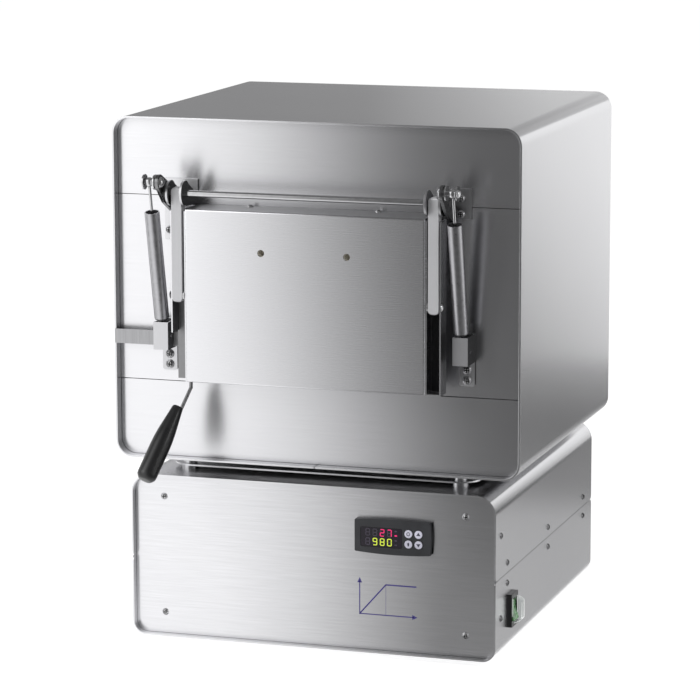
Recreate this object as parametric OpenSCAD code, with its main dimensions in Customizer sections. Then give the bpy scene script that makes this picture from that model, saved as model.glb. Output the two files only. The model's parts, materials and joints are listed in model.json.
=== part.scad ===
// Bench kiln for jewellery casting: an insulated oven with a spring-balanced lift-up
// door, standing on four posts above a control cabinet.
// X is to the right, Y is towards the back, Z is up. The front of the oven is at y = 0
// in the drawing, and place() moves the finished model over its own middle.

/* [Oven housing] */
// Width of the oven housing
oven_w = 388; // [360:1:420]
// Depth of the oven housing
oven_d = 339; // [320:1:380]
// Height of the oven housing
oven_h = 318; // [300:1:350]
// Outer radius of the long edges of the oven housing
oven_r = 16; // [12:0.5:20]
// Thickness of the oven housing sheet
oven_sheet = 2; // [1.5:0.1:2.5]
// Depth of the front panels behind the housing's front edge
oven_recess = 10; // [8:0.5:12]
// Thickness of the panels
panel_sheet = 1.5; // [1:0.1:2]
// Depth of the folded rims of the panels
rim_d = 11; // [9:0.5:13]

/* [Control cabinet] */
// Width of the cabinet
base_w = 350.3; // [340:0.1:360]
// Depth of the cabinet
base_d = 360.5; // [355:0.5:380]
// Height of the cabinet
base_h = 153.4; // [145:0.1:165]
// Distance that the cabinet stands out in front of the oven
base_step = 11.2; // [8:0.1:14]
// Outer radius of the upper long edges of the cabinet
base_r_top = 18; // [14:0.5:20]
// Outer radius of the lower long edges of the cabinet
base_r_bottom = 12.5; // [10:0.5:16]
// Thickness of the cabinet sheet
base_sheet = 1.5; // [1.2:0.1:2]
// Height of the side seam above the cabinet's underside
seam_h = 74.6; // [70:0.1:80]
// Depth of the cabinet's front panel behind the cabinet's front edge
base_recess = 7; // [5:0.5:9]
// Height of the rubber feet
foot_h = 6; // [5:0.5:8]
// Diameter of the rubber feet
foot_d = 20; // [16:1:28]
// Air gap between cabinet and oven
air_gap = 12.4; // [11:0.1:16]

/* [Chamber] */
// Width of the firing chamber
chamber_w = 170; // [150:1:176]
// Height of the firing chamber
chamber_h = 110; // [96:1:114]
// Depth of the firing chamber
chamber_d = 220; // [200:1:226]
// Wall of the ceramic muffle
muffle_wall = 15; // [12:0.5:16]
// Depth of the air space behind the rear insulation
rear_space = 22.7; // [18:0.1:30]

/* [Door] */
// Width of the door shell
door_w = 226.4; // [222:0.1:230]
// Height of the door shell
door_h = 159; // [156:0.5:162]
// Distance of the door's face in front of the oven's front edge
door_out = 28; // [26:0.5:30]
// Sheet thickness of the door and its channels
door_sheet = 1.2; // [1:0.1:1.5]
// Outer width of the side channels
channel_w = 14.3; // [14:0.1:15]
// Depth of the side channels
channel_d = 17.7; // [17:0.1:19]
// Diameter of the two round holes in the door's face
face_hole_d = 6.5; // [5:0.1:8]

/* [Lift gear] */
// Diameter of the cross shaft
shaft_d = 6; // [5:0.1:7]
// Height of the shaft's axis above the door's top edge
shaft_rise = 13.8; // [13.5:0.1:15]
// Distance of the shaft's axis behind the door's face
shaft_set = 4.5; // [4:0.1:5]
// Width of the lift arms
arm_w = 9.7; // [9:0.1:10]
// Depth of the lift arms
arm_d = 10; // [9:0.1:10.5]
// Thickness of the crank plates
crank_t = 3; // [2:0.1:3.5]
// Forward distance from the shaft to the crank bolt
crank_fwd = 16.2; // [15:0.1:18]
// Rise from the shaft to the crank bolt
crank_up = 11.2; // [10:0.1:13]
// Diameter of the crank bolts
crank_bolt_d = 5; // [4:0.1:5.5]
// Diameter of the door pins
door_pin_d = 5; // [4:0.1:6]
// Radial clearance of everything that turns on a pin or a shaft
running_gap = 0.05; // [0.03:0.01:0.08]

/* [Spring struts] */
// Distance of the spring struts outside the crank plates
strut_out = 8; // [7.6:0.1:9]
// Outer diameter of the spring sleeves
sleeve_d = 13.6; // [13:0.1:14]
// Wall of the spring sleeves
sleeve_wall = 1; // [0.8:0.1:1.1]
// Length of the spring sleeves
sleeve_l = 102; // [94:0.5:102.5]
// Wire of the springs and their hooks
spring_wire = 2.6; // [2:0.1:2.8]
// Height of the lower spring pin below the door's middle
spring_pin_drop = 41; // [38:0.5:44]
// Distance of the lower spring pin in front of the oven's front edge
spring_pin_out = 8.1; // [8:0.1:9.5]

/* [Handle] */
// Distance of the handle's wire from the door's side
handle_in = 3.2; // [3:0.1:14]
// Diameter of the handle's wire
handle_wire = 3.2; // [2.5:0.1:4]
// Length of the black grip
grip_l = 76; // [65:1:90]
// Largest diameter of the black grip
grip_d = 18.4; // [15:0.1:20]
// Diameter of the grip at its upper end
grip_neck_d = 10.5; // [10:0.1:12]
// Angle of the handle below the horizontal, in degrees
grip_lean = 51.8; // [40:0.1:60]
// Angle of the handle to the left of straight forward, in degrees
grip_turn = 20; // [0:0.5:25]

/* [Controls] */
// Width of the controller's bezel
bezel_w = 75; // [73:0.5:77]
// Height of the controller's bezel
bezel_h = 32; // [30:0.5:34]
// Height of the bezel in front of the panel
bezel_t = 5.8; // [4:0.1:7]
// Distance of the controller's middle from the cabinet's side
controller_in = 96; // [85:0.5:105]
// Height of the controller's middle above the cabinet's underside
controller_z = 110; // [105:0.5:112]
// Diameter of the controller's keys
key_d = 6.6; // [6:0.1:7.5]
// Travel of the controller's keys
key_travel = 0.7; // [0.4:0.1:1]
// Width of the power switch's frame
switch_w = 22; // [20:0.5:24]
// Height of the power switch's frame
switch_h = 31; // [28:0.5:33]
// Tilt of the power rocker to each side, in degrees
rocker_tilt = 9; // [6:0.5:10]

/* [Hidden] */

$fn = 48;
cut = 1;
seat = 0.3;

// Heights of the main blocks
base_z = foot_h;
base_top = base_z + base_h;
seam_z = base_z + seam_h;
oven_z = base_top + air_gap;
oven_mid = oven_z + oven_h / 2;
inner_w = oven_w - 2 * oven_sheet;
inner_h = oven_h - 2 * oven_sheet;
inner_r = oven_r - oven_sheet;

// Front panels of the oven
seam_half = door_h / 2 + 6.7;
seam_gap = 0.6;
mouth_gap = 10;
mouth_w = chamber_w + 2 * mouth_gap;
mouth_h = chamber_h + 2 * mouth_gap;
mouth_y = oven_recess + panel_sheet + 1.5;
muffle_w = chamber_w + 2 * muffle_wall;
muffle_h = chamber_h + 2 * muffle_wall;
muffle_d = chamber_d + muffle_wall;
muffle_back = mouth_y + muffle_d;
collar_back = oven_recess + rim_d + 1;
board_gap = 3;
back_y = oven_d - panel_sheet - 0.5;
rear_back = back_y - rear_space;
flue_d = 20;
flue_bore = 12;
flue_z = 30;
probe_d = 6;
probe_z = -25;
coil_wire = 5;
coil_rows = 5;
coil_pitch = 22;
coil_x = muffle_w / 2 + seat + coil_wire / 2;
coil_front = mouth_y + 28;
coil_rear = muffle_back - 22;
board_x = muffle_w / 2 + coil_wire + 2 * seat;

// Posts and heat shield
post_in = 63.3;
post_x = oven_w / 2 - post_in;
post_y = 27.4;
post_d = 13;
post_foot_d = 16;
stud_d = 6;
shield_w = 2 * post_x + 35.6;
shield_y = 17;
shield_t = 1.5;
shield_z = base_top + 3.8;
conduit_y = oven_d - 45;
conduit_d = 20;
conduit_bore = 15;

// Control cabinet
base_y = -base_step;
base_back = base_y + base_d;
base_face = base_y + base_recess;
base_rear_face = base_back - base_recess;
base_mid = base_z + base_h / 2;
side_x = base_w / 2;
base_screw_x = side_x - 30;
base_screw_z = base_h / 2 - 21.6;
side_screw_y = [base_y + 40.5, base_y + base_d / 2 + 8, base_back - 34.7];
side_screw_half = 9.5;
base_rim = 20;
strap_t = 2;
strap_h = 36;
flap_r = 4.5;
flange_screw_y = base_face + 11;
flange_screw_z = [base_top - 39.4, base_z + 37];
small_screw_d = 3.4;
small_head_d = 6.6;
small_head_h = 1.7;
front_head_d = 8;
front_head_h = 2.2;
foot_x = side_x - 40;
inlet_x = -side_x + 65;
inlet_z = base_z + 49;
fuse_x = inlet_x + 40;
relay_at = [-side_x + 115, base_y + 121];
relay_size = [78, 65, 40];
relay_foot = [58, 45, 28];
relay_fins = 8;
terminal_at = [side_x - 115, base_y + 241];
terminal_size = [72, 22, 20];
terminal_ways = 6;
foot_in = 56;

// Door
door_top = oven_mid + door_h / 2;
door_bottom = oven_mid - door_h / 2;
door_face = -door_out;
door_back = oven_recess - 1;
door_bend = 1.6;
channel_x = door_w / 2 + 0.1;
channel_out = channel_x + channel_w;
channel_front = door_face + 1.5;
channel_back = channel_front + channel_d;
channel_top = door_top - 2;
plug_root = 2;
plug_tip = 7;
plug_front = mouth_y - 0.4;
plug_end = mouth_y + 11;
pad_gap = 3;
face_hole_x = 40.5;
face_hole_up = 42.1;
top_screw_x = 60.9;
top_screw_y = 2;

// Lift gear
shaft_y = door_face + shaft_set;
shaft_z = door_top + shaft_rise;
pin_z = oven_mid;
pin_y = shaft_y;
arm_in = door_w / 2 + 3;
arm_out = arm_in + arm_w;
arm_low = pin_z - 6.4;
arm_high = shaft_z + 5.8;
ear_t = 2;
ear_in = channel_x + 0.4;
ear_out = arm_out + 1.3;
ear_r = 11.5;
ear_neck_low = -15;
ear_neck_high = -5;
bracket_t = 2;
bracket_y = oven_recess - bracket_t;
crank_in = ear_out + ear_t + 2.2;
strut_x = crank_in + crank_t + strut_out;
plate_out = strut_x + 3.4;
bolt_y = shaft_y - crank_fwd;
bolt_z = shaft_z + crank_up;
tail_y = shaft_y + 17;
tail_z = shaft_z - 12;
washer_d = 14;
washer_t = 0.8;

// Spring struts
spring_pin_y = -spring_pin_out;
spring_pin_z = oven_mid - spring_pin_drop;
strut_dy = spring_pin_y - bolt_y;
strut_dz = bolt_z - spring_pin_z;
strut_l = sqrt(strut_dy * strut_dy + strut_dz * strut_dz);
strut_tilt = atan2(strut_dy, strut_dz);
eye_d = 9;
eye_half = 3.3;
sleeve_top = 28.8;
sleeve_low = sleeve_top + sleeve_l;
spring_d = sleeve_d - 2 * sleeve_wall - 1;
spring_top = sleeve_top + 20;
spring_turns = 26;
spring_low = sleeve_low - 2;
stop_d = 12.6;
hook_w = 4.2;
loop_wire = 2;
hook_top = strut_l - 6;
hook_low = strut_l + 4;
spring_pin_d = 2.8;
block_w = 14.2;
block_t = 1;
block_front = spring_pin_y - 7.6;
block_top = spring_pin_z + 13.4;
block_low = spring_pin_z - 12.2;
foot_plate_w = 14.2;
foot_plate_low = spring_pin_z - 34.8;
foot_screw_z = [spring_pin_z - 19.7, spring_pin_z - 29.3];
pan_d = 8.6;
pan_h = 2.8;
strip_z = spring_pin_z - 10.6;
strip_h = 13.4;
strip_t = 1.5;
strip_end = channel_out + 1.8;
strip_slot = 0.5;

// Handle
handle_x = door_w / 2 - handle_in;
handle_y = door_face + 4;
knee_y = handle_y - 0.5;
knee_z = door_bottom - 5.5;
wire_free = 21.8;
wire_hidden = 40;
grip_off = [-3, 1.8];
grip_tip_r = grip_d * 0.36;
grip_forward = cos(grip_lean) * cos(grip_turn);
grip_reach = sqrt(1 - grip_forward * grip_forward);
grip_sink = grip_off[0] * sin(-grip_turn) - grip_off[1] * sin(grip_lean) * cos(grip_turn);
tip_y = knee_y + grip_sink - (wire_free + grip_l - 0.6) * grip_forward - grip_tip_r * grip_reach;

// Controls
controller_x = side_x - controller_in;
controller_mid = base_z + controller_z;
cutout_w = 71;
cutout_h = 29;
controller_back = 62;
key_x = [controller_x + 13.9, controller_x + 23.4];
key_z = [controller_mid + 3.7, controller_mid - 5.9];
window_w = 39.6;
window_h = 18.4;
window_x = controller_x - 12;
window_z = controller_mid - 1.5;
switch_y = base_y + 51.8;
switch_z = base_z + 38.2;
switch_t = 4.3;

// Whole model
tail_end = base_back;
middle_y = (tip_y + tail_end) / 2;

steel = "#c3c5c8";
steel_dark = "#8f9296";
chrome = "#b9bbbe";
black = "#1c1c1e";
ceramic = "#efe9dd";
board = "#e6dfcf";

module place() {
    translate([0, -middle_y, 0]) children();
}

// Plain outlines
module rounded_rect(w, h, r) {
    square([w - 2 * r, h], center = true);
    square([w, h - 2 * r], center = true);
    for (sx = [-1, 1], sy = [-1, 1])
        translate([sx * (w / 2 - r), sy * (h / 2 - r)]) circle(r = r);
}

module two_radius_rect(w, h, r_top, r_bottom) {
    polygon([[-w / 2, -h / 2 + r_bottom], [-w / 2 + r_bottom, -h / 2],
        [w / 2 - r_bottom, -h / 2], [w / 2, -h / 2 + r_bottom],
        [w / 2, h / 2 - r_top], [w / 2 - r_top, h / 2],
        [-w / 2 + r_top, h / 2], [-w / 2, h / 2 - r_top]]);
    for (s = [-1, 1]) {
        translate([s * (w / 2 - r_top), h / 2 - r_top]) circle(r = r_top);
        translate([s * (w / 2 - r_bottom), -h / 2 + r_bottom]) circle(r = r_bottom);
    }
}

// A link outline: two round ends joined by their common tangents
module link_outline(a, ra, b, rb) {
    d = b - a;
    turn = atan2(d[1], d[0]);
    lean = acos((ra - rb) / norm(d));
    translate(a) circle(r = ra);
    translate(b) circle(r = rb);
    polygon([a + ra * [cos(turn + lean), sin(turn + lean)],
        a + ra * [cos(turn - lean), sin(turn - lean)],
        b + rb * [cos(turn - lean), sin(turn - lean)],
        b + rb * [cos(turn + lean), sin(turn + lean)]]);
}

// An outline in X and Z, made solid from y0 to y1
module along_y(y0, y1) {
    translate([0, y1, 0]) rotate([90, 0, 0]) linear_extrude(y1 - y0) children();
}

// An outline in Y and Z, made solid from x0 to x1
module along_x(x0, x1) {
    translate([x0, 0, 0]) rotate([90, 0, 90]) linear_extrude(x1 - x0) children();
}

// A round bar along X
module bar_x(x0, x1, y, z, d) {
    translate([x0, y, z]) rotate([0, 90, 0]) cylinder(h = x1 - x0, d = d);
}

// A round bar along Y
module bar_y(x, y0, y1, z, d) {
    translate([x, y1, z]) rotate([90, 0, 0]) cylinder(h = y1 - y0, d = d);
}

module both_sides() {
    children();
    mirror([1, 0, 0]) children();
}

// A low dome on a short cylinder, along +Z
module dome_head(d, h) {
    r = (d * d / 4 + h * h) / (2 * h);
    intersection() {
        cylinder(h = h, d = d);
        translate([0, 0, h - r]) sphere(r = r);
    }
}

// A cross-recessed pan-head screw along +Z, with its shank below
module pan_screw(d, h, shank_d, shank_l) {
    difference() {
        dome_head(d, h);
        for (a = [0, 90])
            rotate([0, 0, a]) translate([-d * 0.28, -d * 0.05, h * 0.45]) cube([d * 0.56, d * 0.1, h]);
    }
    translate([0, 0, -shank_l]) cylinder(h = shank_l, d = shank_d);
}

// Oven housing
module oven_outline(inset) {
    translate([0, oven_mid])
        rounded_rect(inner_w - 2 * inset, inner_h - 2 * inset, inner_r - inset);
}

module outer_wrapper() color(steel) difference() {
    along_y(0, oven_d) difference() {
        translate([0, oven_mid]) rounded_rect(oven_w, oven_h, oven_r);
        oven_outline(0);
    }
    // Butt seam along the underside
    translate([-0.2, -cut, oven_z - cut]) cube([0.4, oven_d + 2 * cut, oven_sheet + 2 * cut]);
    translate([0, conduit_y, oven_z - cut]) cylinder(h = oven_sheet + 2 * cut, d = conduit_d + seat);
}

// One stretch of the oven's face, from low to high about the oven's middle
module face_stretch(inset, low, high) {
    intersection() {
        oven_outline(0.2 + inset);
        translate([-oven_w / 2, oven_mid + low + inset])
            square([oven_w, high - low - 2 * inset]);
    }
}

// A panel with a rim folded to the back
module rimmed_panel(front, rim, low, high) {
    difference() {
        along_y(front, front + rim) face_stretch(0, low, high);
        along_y(front + panel_sheet, front + rim + cut) face_stretch(panel_sheet, low, high);
    }
}

// Holes for the screws of the brackets, through what lies behind them
module bracket_screw_holes(back, d) {
    for (s = [-1, 1], z = foot_screw_z) bar_y(s * strut_x, oven_recess - cut, back, z, d);
    for (p = concat(left_plate_screws(), right_plate_screws()))
        bar_y(p[0], oven_recess - cut, back, p[1], d);
}

module front_panel_top() color(steel) difference() {
    rimmed_panel(oven_recess, rim_d, seam_half + seam_gap / 2, oven_h / 2);
    bracket_screw_holes(oven_recess + 4, small_screw_d + 0.1);
}

module front_panel_middle() color(steel) difference() {
    rimmed_panel(oven_recess, rim_d, -seam_half + seam_gap / 2, seam_half - seam_gap / 2);
    along_y(oven_recess - cut, oven_recess + panel_sheet + cut)
        translate([0, oven_mid]) rounded_rect(mouth_w, mouth_h, 4);
    bracket_screw_holes(oven_recess + 4, small_screw_d + 0.1);
}

module front_panel_bottom() color(steel)
    rimmed_panel(oven_recess, rim_d, -oven_h / 2, -seam_half - seam_gap / 2);

module upper_back_panel() color(steel) difference() {
    union() {
        along_y(back_y, back_y + panel_sheet) face_stretch(0, -oven_h / 2, oven_h / 2);
        along_y(back_y - rim_d, back_y) difference() {
            face_stretch(0, -oven_h / 2, oven_h / 2);
            face_stretch(panel_sheet, -oven_h / 2, oven_h / 2);
        }
    }
    bar_y(0, back_y - cut, back_y + panel_sheet + cut, oven_mid + flue_z, flue_d + 1);
    for (sx = [-1, 1], row = [0:6])
        along_y(back_y - cut, back_y + panel_sheet + cut)
            translate([sx * 105, oven_mid + 60 + row * 11]) rounded_rect(70, 4, 1.9);
}

// Firing chamber and insulation
module taper(w0, h0, w1, h1, y0, y1) {
    intersection() {
        translate([0, 0, oven_mid - h0])
            linear_extrude(2 * h0)
                polygon([[-w0 / 2, y0], [w0 / 2, y0], [w1 / 2, y1], [-w1 / 2, y1]]);
        along_x(-w0, w0)
            translate([0, oven_mid])
                polygon([[y0, -h0 / 2], [y0, h0 / 2], [y1, h1 / 2], [y1, -h1 / 2]]);
    }
}

module muffle() color(ceramic) difference() {
    along_y(mouth_y, muffle_back) translate([0, oven_mid]) rounded_rect(muffle_w, muffle_h, 5);
    along_y(mouth_y - cut, mouth_y + chamber_d)
        translate([0, oven_mid]) rounded_rect(chamber_w, chamber_h, 8);
    taper(chamber_w + 12, chamber_h + 12, chamber_w, chamber_h, mouth_y - cut, mouth_y + 5);
    bar_y(0, mouth_y + chamber_d - cut, muffle_back + cut, oven_mid + flue_z, flue_bore);
    bar_y(0, mouth_y + chamber_d - cut, muffle_back + cut, oven_mid + probe_z, probe_d + 1);
}

module coil_bend() {
    rotate_extrude(angle = 180) translate([coil_pitch / 2, 0]) circle(d = coil_wire);
}

module heating_coils() color("#8a6f5a") both_sides() {
    for (i = [0:coil_rows - 1]) {
        z = oven_mid + (i - (coil_rows - 1) / 2) * coil_pitch;
        bar_y(coil_x, coil_front, coil_rear, z, coil_wire);
    }
    for (i = [0:coil_rows - 2]) {
        z = oven_mid + (i + 0.5 - (coil_rows - 1) / 2) * coil_pitch;
        at_rear = i % 2 == 0;
        translate([coil_x, at_rear ? coil_rear : coil_front, z])
            rotate([0, 90, 0]) rotate([0, 0, at_rear ? 0 : 180]) coil_bend();
    }
}

module insulation_boards() color(board) {
    difference() {
        along_y(collar_back + seat, muffle_back) oven_outline(board_gap);
        // Room for the muffle and its coils
        along_y(collar_back - cut, muffle_back + cut)
            translate([-board_x, oven_mid - muffle_h / 2 - seat])
                square([2 * board_x, muffle_h + 2 * seat]);
        // Joints between the boards
        for (s = [-1, 1])
            along_y(collar_back - cut, muffle_back + cut)
                translate([-oven_w / 2, oven_mid + s * (muffle_h / 2 + seat / 2) - seat / 2])
                    square([oven_w, seat]);
        translate([0, conduit_y, oven_z]) cylinder(h = 40, d = conduit_d + 8);
    }
}

module insulation_rear() color(board) difference() {
    along_y(muffle_back + seat, rear_back) oven_outline(board_gap);
    bar_y(0, muffle_back, rear_back + cut, oven_mid + flue_z, flue_d + 2 * seat);
    bar_y(0, muffle_back, rear_back + cut, oven_mid + probe_z, probe_d + 2 * seat);
    translate([0, conduit_y, oven_z]) cylinder(h = 40, d = conduit_d + 8);
}

module mouth_collar() color(board) difference() {
    along_y(oven_recess + panel_sheet + seat, collar_back)
        translate([0, oven_mid])
            square([inner_w - 2 * panel_sheet - 2, 2 * seam_half - 2 * panel_sheet - 3], center = true);
    along_y(oven_recess, collar_back + cut)
        translate([0, oven_mid]) rounded_rect(muffle_w + 2 * seat, muffle_h + 2 * seat, 5 + seat);
    bracket_screw_holes(collar_back + cut, small_screw_d + 2);
}

module thermocouple() color("#d8d2c4") {
    bar_y(0, mouth_y + chamber_d - 25, rear_back + seat, oven_mid + probe_z, probe_d);
    difference() {
        along_y(rear_back + seat, rear_back + 12)
            translate([0, oven_mid + probe_z]) rounded_rect(34, 20, 4);
        for (s = [-1, 1])
            bar_y(s * 9, rear_back + 5, rear_back + 13, oven_mid + probe_z, 4);
    }
}

module flue_tube() color(ceramic) difference() {
    bar_y(0, muffle_back + seat, oven_d + 5, oven_mid + flue_z, flue_d);
    bar_y(0, muffle_back, oven_d + 6, oven_mid + flue_z, flue_bore);
}

// Posts, heat shield and conduit in the air gap
module at_posts() {
    for (sx = [-1, 1], y = [post_y, oven_d - post_y])
        translate([sx * post_x, y, 0]) children();
}

module spacers() color(chrome) at_posts() {
    translate([0, 0, base_top]) cylinder(h = shield_z - base_top, d = post_foot_d);
    translate([0, 0, shield_z - cut]) cylinder(h = shield_t + 2 * cut, d = stud_d);
    translate([0, 0, shield_z + shield_t]) cylinder(h = oven_z - shield_z - shield_t, d = post_d);
}

module heat_shield() color(steel) difference() {
    translate([0, oven_d / 2, shield_z])
        linear_extrude(shield_t) rounded_rect(shield_w, oven_d - 2 * shield_y, 22);
    at_posts() translate([0, 0, shield_z - cut]) cylinder(h = 4, d = stud_d + 0.6);
    translate([0, conduit_y, shield_z - cut]) cylinder(h = 4, d = conduit_d + 2);
}

module cable_conduit() color(black) difference() {
    union() {
        translate([0, conduit_y, base_top - 8]) cylinder(h = oven_z - base_top + 12, d = conduit_d);
        translate([0, conduit_y, base_top]) cylinder(h = 2, d = conduit_d + 6);
    }
    translate([0, conduit_y, base_top - 9]) cylinder(h = air_gap + 20, d = conduit_bore);
}

// Control cabinet
module base_outline(inset) {
    translate([0, base_mid])
        two_radius_rect(base_w - 2 * inset, base_h - 2 * inset,
            base_r_top - inset, base_r_bottom - inset);
}

// Removes the square corner of a side wall and leaves a round one
module flap_corner(y, z, dir_y, dir_z) {
    along_x(-base_w, base_w)
        translate([y, z]) scale([dir_y, dir_z]) difference() {
            translate([-cut, -cut]) square([flap_r + cut, flap_r + cut]);
            translate([flap_r, flap_r]) circle(r = flap_r);
            translate([flap_r, -2 * cut]) square([cut, flap_r * 3]);
        }
}

module shell_half(z0, z1) {
    intersection() {
        along_y(base_y, base_back) difference() {
            base_outline(0);
            base_outline(base_sheet);
        }
        translate([-base_w, base_y - cut, z0]) cube([2 * base_w, base_d + 2 * cut, z1 - z0]);
    }
}

module side_screw_holes() {
    for (y = side_screw_y, s = [-1, 1])
        bar_x(-base_w, base_w, y, seam_z + s * side_screw_half, small_screw_d + 0.1);
    for (z = flange_screw_z)
        bar_x(-base_w, base_w, flange_screw_y, z, small_screw_d + 0.1);
}

module base_cover() color(steel) difference() {
    shell_half(seam_z + 0.2, base_top + cut);
    flap_corner(base_y, seam_z + 0.2, 1, 1);
    flap_corner(base_back, seam_z + 0.2, -1, 1);
    side_screw_holes();
    translate([0, conduit_y, base_top - 5]) cylinder(h = 8, d = conduit_d + seat);
}

module base_tray() color(steel) difference() {
    shell_half(base_z - cut, seam_z - 0.2);
    flap_corner(base_y, seam_z - 0.2, 1, -1);
    flap_corner(base_back, seam_z - 0.2, -1, -1);
    side_screw_holes();
    along_x(side_x - 5, side_x + 5)
        translate([switch_y, switch_z]) square([switch_w - 2.5, switch_h - 2.5], center = true);
    for (sx = [-1, 1], row = [0:5])
        translate([sx * 60, 200 + row * 12, base_z - cut])
            linear_extrude(base_sheet + 2 * cut) rounded_rect(60, 4, 1.9);
}

// A cabinet panel with a rim folded inwards
module cabinet_panel(face, inward) {
    sheet_end = face + inward * panel_sheet;
    rim_end = face + inward * base_rim;
    along_y(min(face, sheet_end), max(face, sheet_end)) base_outline(base_sheet + 0.2);
    along_y(min(sheet_end, rim_end), max(sheet_end, rim_end)) difference() {
        base_outline(base_sheet + 0.2);
        base_outline(base_sheet + 0.2 + panel_sheet);
    }
}

module base_front_panel() color(steel) difference() {
    cabinet_panel(base_face, 1);
    along_y(base_face - cut, base_face + 3)
        translate([controller_x, controller_mid]) square([cutout_w, cutout_h], center = true);
    for (sx = [-1, 1], sz = [-1, 1])
        bar_y(sx * base_screw_x, base_face - cut, base_face + 3, base_mid + sz * base_screw_z,
            small_screw_d + 0.1);
    for (z = flange_screw_z)
        bar_x(-base_w, base_w, flange_screw_y, z, small_screw_d + 0.1);
}

module base_rear_panel() color(steel) difference() {
    cabinet_panel(base_rear_face, -1);
    along_y(base_rear_face - 3, base_rear_face + cut) {
        translate([inlet_x, inlet_z]) square([27.5, 20.5], center = true);
        translate([fuse_x, inlet_z]) circle(d = 13);
        for (row = [0:5])
            translate([60, 40 + row * 12]) rounded_rect(110, 4, 1.9);
    }
}

module seam_straps() color(steel_dark) both_sides() difference() {
    translate([side_x - base_sheet - strap_t, base_face + base_rim + 2, seam_z - strap_h / 2])
        cube([strap_t, base_rear_face - base_face - 2 * base_rim - 4, strap_h]);
    side_screw_holes();
}

module base_screws() color(chrome) {
    both_sides() {
        for (y = side_screw_y, s = [-1, 1])
            translate([side_x, y, seam_z + s * side_screw_half])
                rotate([0, 90, 0]) pan_screw(small_head_d, small_head_h, small_screw_d, 6);
        for (z = flange_screw_z)
            translate([side_x, flange_screw_y, z])
                rotate([0, 90, 0]) pan_screw(small_head_d, small_head_h, small_screw_d, 6);
    }
    for (sx = [-1, 1], sz = [-1, 1])
        translate([sx * base_screw_x, base_face, base_mid + sz * base_screw_z])
            rotate([90, 0, 0]) pan_screw(front_head_d, front_head_h, small_screw_d, 8);
}

module feet() color(black)
    for (sx = [-1, 1], y = [base_y + foot_in, base_back - foot_in])
        translate([sx * foot_x, y, 0]) rotate_extrude()
            polygon([[3, 1.5], [3, 0], [foot_d / 2 - 3, 0], [foot_d / 2 - 1.5, 0.6],
                [foot_d / 2, foot_h], [0, foot_h], [0, 1.5]]);

// Temperature controller
module controller_body() color("#3a3c40") difference() {
    union() {
        along_y(base_face - bezel_t, base_face) translate([controller_x, controller_mid])
            intersection() {
                rounded_rect(bezel_w, bezel_h, 3.2);
                // The bezel's long sides and right end are slightly bowed
                translate([0, 400 - bezel_h / 2]) circle(r = 400, $fn = 360);
                translate([0, -400 + bezel_h / 2]) circle(r = 400, $fn = 360);
                translate([bezel_w / 2 - 90, 0]) circle(r = 90, $fn = 180);
            }
        along_y(base_face, base_face + controller_back)
            translate([controller_x, controller_mid])
                square([cutout_w - 2 * seat, cutout_h - 2 * seat], center = true);
    }
    along_y(base_face - bezel_t - cut, base_face - bezel_t + 1.6)
        translate([window_x, window_z]) rounded_rect(window_w, window_h, 1.5);
    for (x = key_x, z = key_z)
        bar_y(x, base_face - bezel_t - cut, base_face - bezel_t + 3.8, z, key_d + 2 * seat);
}

module controller_window() color("#2a0d12")
    along_y(base_face - bezel_t + 0.5, base_face - bezel_t + 1.6)
        translate([window_x, window_z]) rounded_rect(window_w - 0.4, window_h - 0.4, 1.3);

module controller_key(x, z) {
    translate([x, base_face - bezel_t + 3.4 - key_travel - 0.1, z])
        rotate([90, 0, 0]) dome_head(key_d, 3.6);
}

module key_menu() color("#cfcfe0") controller_key(key_x[0], key_z[0]);

module key_set() color("#cfcfe0") controller_key(key_x[0], key_z[1]);

module key_down() color("#cfcfe0") controller_key(key_x[1], key_z[1]);

module key_up() color("#cfcfe0") controller_key(key_x[1], key_z[0]);

// Power switch on the cabinet's right side
module at_switch() {
    translate([side_x, switch_y, switch_z]) rotate([90, 0, 90]) children();
}

module switch_frame() color(black) at_switch() difference() {
    union() {
        linear_extrude(switch_t) rounded_rect(switch_w, switch_h, 1.2);
        translate([0, 0, -20]) linear_extrude(20) square([switch_w - 3, switch_h - 3], center = true);
        for (s = [-1, 1]) translate([s * 4, 0, -28]) linear_extrude(8) square([0.8, 6], center = true);
    }
    translate([0, 0, -12]) linear_extrude(20) rounded_rect(15, switch_h - 8, 1);
}

// The rocker is drawn level and tilted to its rest position about its pivot
module power_rocker() color("#2f8f3f") at_switch()
    translate([0, 0, 1]) rotate([-rocker_tilt, 0, 0]) {
        translate([-6.9, 0, 0]) rotate([90, 0, 90]) linear_extrude(13.8)
            intersection() {
                polygon([[-9.8, -4], [9.8, -4], [10.4, 3.4], [0, 1.8], [-10.4, 3.4]]);
                circle(r = 10.8);
            }
    }

module switch_cover() color("#dfe8e6", 0.35) at_switch() difference() {
    cover_form(switch_w - 2, switch_h - 5, switch_t, 10);
    cover_form(switch_w - 4, switch_h - 7, switch_t - cut, 10);
}

module cover_form(w, h, low, rise) {
    r = 24;
    intersection() {
        translate([0, 0, low]) linear_extrude(rise) rounded_rect(w, h, 4);
        translate([0, 0, low + rise - r]) sphere(r = r);
    }
}

// Mains inlet and fuse on the cabinet's rear panel
module power_inlet() color(black) difference() {
    union() {
        along_y(base_rear_face, base_rear_face + 3)
            translate([inlet_x, inlet_z]) rounded_rect(50, 24, 4);
        along_y(base_rear_face - 16, base_rear_face)
            translate([inlet_x, inlet_z]) square([27, 20], center = true);
    }
    along_y(base_rear_face - 12, base_rear_face + 4) translate([inlet_x, inlet_z])
        polygon([[-11.5, -8], [11.5, -8], [11.5, 3], [7, 8], [-7, 8], [-11.5, 3]]);
}

module fuse_holder() color(black) {
    bar_y(fuse_x, base_rear_face, base_rear_face + 4, inlet_z, 17);
    bar_y(fuse_x, base_rear_face - 28, base_rear_face, inlet_z, 12.6);
}

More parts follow.
